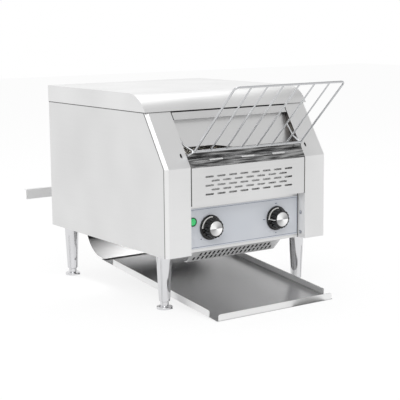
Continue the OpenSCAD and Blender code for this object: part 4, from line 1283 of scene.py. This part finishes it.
@dataclass
class Studio:
    """Camera, light, floor and world."""

    azimuth_deg: float = -34.94
    elevation_deg: float = 9.35
    roll_deg: float = -0.524
    distance: float = 2.2417
    target: Point = (0.03026, -0.01304, 0.16059)
    lens_mm: float = 101.63
    sensor_mm: float = 36.0
    floor_size: float = 14.0
    floor_drop: float = 0.4 * MM
    flag_height: float = 0.4 * MM
    flag_reach: tuple[float, float] = (0.03, 0.3)  # from the leg's axis
    flag_turns: tuple[tuple[float, float], ...] = (  # each strip's direction and half its width, in degrees
        (-30.0, 5.0),
        (-176.0, 2.0),
        (-158.0, 1.2),
    )
    card: tuple[Point, ...] = ((0.98, -0.3, 1.3), (1.7, -0.3, 1.3), (1.7, 0.6, 1.3), (0.98, 0.6, 1.3))
    strip_share: float = 0.9  # of the width of the opening that it lights

    def camera(self) -> None:
        """Stand the camera off the front left corner, a little above the machine."""
        data = bpy.data.cameras.new("camera")
        data.lens, data.sensor_width = self.lens_mm, self.sensor_mm
        data.clip_end = 50.0
        made = bpy.data.objects.new("camera", data)
        made.matrix_world = (
            Matrix.Translation(self.target)
            @ Matrix.Rotation(math.radians(self.azimuth_deg), 4, "Z")
            @ Matrix.Rotation(math.radians(90 - self.elevation_deg), 4, "X")
            @ Matrix.Rotation(math.radians(self.roll_deg), 4, "Z")
            @ Matrix.Translation((0, 0, self.distance))
        )
        bpy.context.scene.collection.objects.link(made)
        bpy.context.scene.camera = made

    def world(self) -> None:
        """A white cyclorama that dims a little towards the front of the studio."""
        made = bpy.data.worlds.new("studio")
        bpy.context.scene.world = made
        tree = cleared(made)
        towards = add(tree, "ShaderNodeTexCoord").outputs["Generated"]
        parts = add(tree, "ShaderNodeSeparateXYZ", {"Vector": towards})
        ends = {"From Min": -0.6, "From Max": 0.7, "To Min": 0.72, "To Max": 1.0}
        depth = add(
            tree, "ShaderNodeMapRange", {"Value": parts.outputs["Y"], **ends}, interpolation_type="SMOOTHSTEP"
        )
        seen = add(tree, "ShaderNodeLightPath").outputs["Is Camera Ray"]
        room = add(tree, "ShaderNodeBackground", {"Color": (1, 1, 1, 1), "Strength": depth})
        white = add(tree, "ShaderNodeBackground", {"Color": (1, 1, 1, 1), "Strength": 1.0})
        mixed = add(tree, "ShaderNodeMixShader", {0: seen, 1: room, 2: white})
        add(tree, "ShaderNodeOutputWorld", {"Surface": mixed})

    def stage_mesh(self, name: str, mesh: BMesh, cover: bpy.types.Material) -> bpy.types.Object:
        """Put a mesh into the studio as something that isn't part of the machine.

        Args:
            name: the object's name.
            mesh: its mesh, which is freed.
            cover: its material.

        Returns:
            The object.
        """
        data = bpy.data.meshes.new(name)
        mesh.to_mesh(data)
        mesh.free()
        made = bpy.data.objects.new(name, data)
        bpy.context.scene.collection.objects.link(made)
        data.materials.append(cover)
        return made

    def floor(self) -> None:
        """A pale floor that keeps the machine's soft shadow."""
        mesh = bmesh.new()
        bmesh.ops.create_grid(mesh, x_segments=1, y_segments=1, size=self.floor_size / 2)
        placed(mesh, Matrix.Translation((0, 0, -self.floor_drop)))
        finish = bpy.data.materials.new("pale_studio_floor")
        tree = cleared(finish)
        matt = add(tree, "ShaderNodeBsdfDiffuse", {"Color": (0.82, 0.82, 0.82, 1)})
        glow = add(tree, "ShaderNodeEmission", {"Color": (1, 1, 1, 1), "Strength": 1.04})
        paths = add(tree, "ShaderNodeLightPath").outputs
        seen = paths["Is Camera Ray"]
        for ray in ("Is Glossy Ray", "Is Transmission Ray"):
            seen = add(tree, "ShaderNodeMath", {0: seen, 1: paths[ray]}, operation="MAXIMUM")
        share = add(tree, "ShaderNodeMath", {0: seen, 1: 0.8}, operation="MULTIPLY")
        shown = add(tree, "ShaderNodeMixShader", {0: share, 1: matt, 2: glow})
        add(tree, "ShaderNodeOutputMaterial", {"Surface": shown})
        self.stage_mesh("floor", mesh, finish)

    def flags(self) -> None:
        """Dark strips on the floor that draw the thin lines in the legs' chrome.

        A card over the right does the same for the roof's rolled edge. Only reflections show them.
        """
        mesh = bmesh.new()
        near, far = self.flag_reach
        for corner in CORNERS:
            leg = Span.of(f"leg_{corner}").middle
            for middle_deg, half_deg in self.flag_turns:
                strip = []
                for away, share in ((near, -1), (far, -1), (far, 1), (near, 1)):
                    turn = math.radians(middle_deg + share * half_deg)
                    where = (leg.x + away * math.cos(turn), leg.y + away * math.sin(turn), self.flag_height)
                    strip.append(mesh.verts.new(where))
                mesh.faces.new(strip)
        mesh.faces.new([mesh.verts.new(where) for where in self.card])
        cloth = bpy.data.materials.new("black_flag_cloth")
        tree = cleared(cloth)
        matt = add(tree, "ShaderNodeBsdfDiffuse", {"Color": (0.16, 0.16, 0.16, 1)})
        add(tree, "ShaderNodeOutputMaterial", {"Surface": matt})
        made = self.stage_mesh("leg_flags", mesh, cloth)
        made.visible_camera = made.visible_diffuse = made.visible_shadow = made.visible_transmission = False

    def light(
        self, name: str, place: Point, aim: Point, size: Sequence[float], watts: float, mirrored: bool = True
    ) -> None:
        """Hang a soft light.

        Args:
            name: the light's name.
            place: where it hangs.
            aim: the point that it faces.
            size: its width and height in metres.
            watts: its power.
            mirrored: whether polished pieces show it.
        """
        data = bpy.data.lights.new(name, "AREA")
        data.shape = "RECTANGLE"
        data.energy, data.size, data.size_y = watts, size[0], size[1]
        made = bpy.data.objects.new(name, data)
        bpy.context.scene.collection.objects.link(made)
        made.location = place
        made.rotation_euler = (Vector(aim) - Vector(place)).to_track_quat("-Z", "Y").to_euler()
        made.visible_glossy = mirrored
        made.visible_camera = False

    def build(self) -> None:
        """Set the whole studio: two softboxes, and a strip in each dark opening."""
        self.camera()
        self.world()
        self.floor()
        middle = (0.0, 0.0, 0.2)
        self.light("key_softbox", (-1.6, -1.9, 2.4), middle, (1.8, 1.8), 22.0)
        self.light("top_softbox", (0.3, 0.6, 2.6), middle, (2.2, 2.2), 14.0)
        ramp = Span.of("discharge_ramp")
        over_ramp = (0.0, ramp.high.y - 68 * MM, ramp.low.z + 90 * MM)
        size = (ramp.size.x * self.strip_share, 0.03)
        self.light("ramp_strip", over_ramp, (0.0, over_ramp[1], 0.0), size, 0.7, mirrored=False)
        mouth = Span.of("feed_shield")
        in_mouth = (0.0, mouth.low.y + 45 * MM, mouth.low.z - 4 * MM)
        over_belt = (0.0, mouth.low.y + 180 * MM, Span.of("conveyor_belt").high.z)
        self.light("mouth_strip", in_mouth, over_belt, (mouth.size.x * self.strip_share, 0.01), 0.12)
        self.flags()
        bpy.context.scene.view_settings.view_transform = "Standard"


# The nodes that keep the frame's own form, by finish. Any other such node is heat-dulled steel.
FRAME_FINISHES: dict[str, Finish] = {
    name: finish
    for finish, names in (
        (SCORCHED, "cheek_left cheek_right"),
        (OVERLAY, "control_label"),
        (BRIGHT_STEEL, "upper_reflector lower_reflector"),
        (QUARTZ, "upper_heaters lower_heaters"),
        (CERAMIC, "heater_caps"),
        (ZINC, "drive_shaft idler_shaft heat_knob_shaft speed_knob_shaft leg_nuts case_screws"),
        (BRONZE, "shaft_bushes"),
        (ENAMEL, "gearmotor"),
        (CHAIN_STEEL, "motor_sprocket chain_sprocket drive_chain"),
        (FAN_PLASTIC, "fan_frame fan_rotor"),
        (IVORY_PLASTIC, "heat_switch terminal_block"),
        (BLACK_ABS, "speed_regulator cable_gland"),
        (LAMP_BEZEL, "lamp_body"),
    )
    for name in names.split()
}


def main() -> None:
    """Build every sub-assembly round the frame, then the studio."""
    logging.basicConfig(level=logging.INFO, format="%(name)s %(message)s")
    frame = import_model()
    heat, speed = Knob("heat_knob", 180.0), Knob("speed_knob", 0.0)
    for part in (Housing(), FeedRack(), Belt(), heat, speed, ControlFace(), CatchTray(), Legs()):
        part.build()
    for name, node in frame["nodes"].items():
        if not node.hide_render:
            node.data.materials.clear()
            node.data.materials.append(FRAME_FINISHES.get(name, SCORCHED).material())
    Studio().build()


if __name__ == "__main__":
    main()
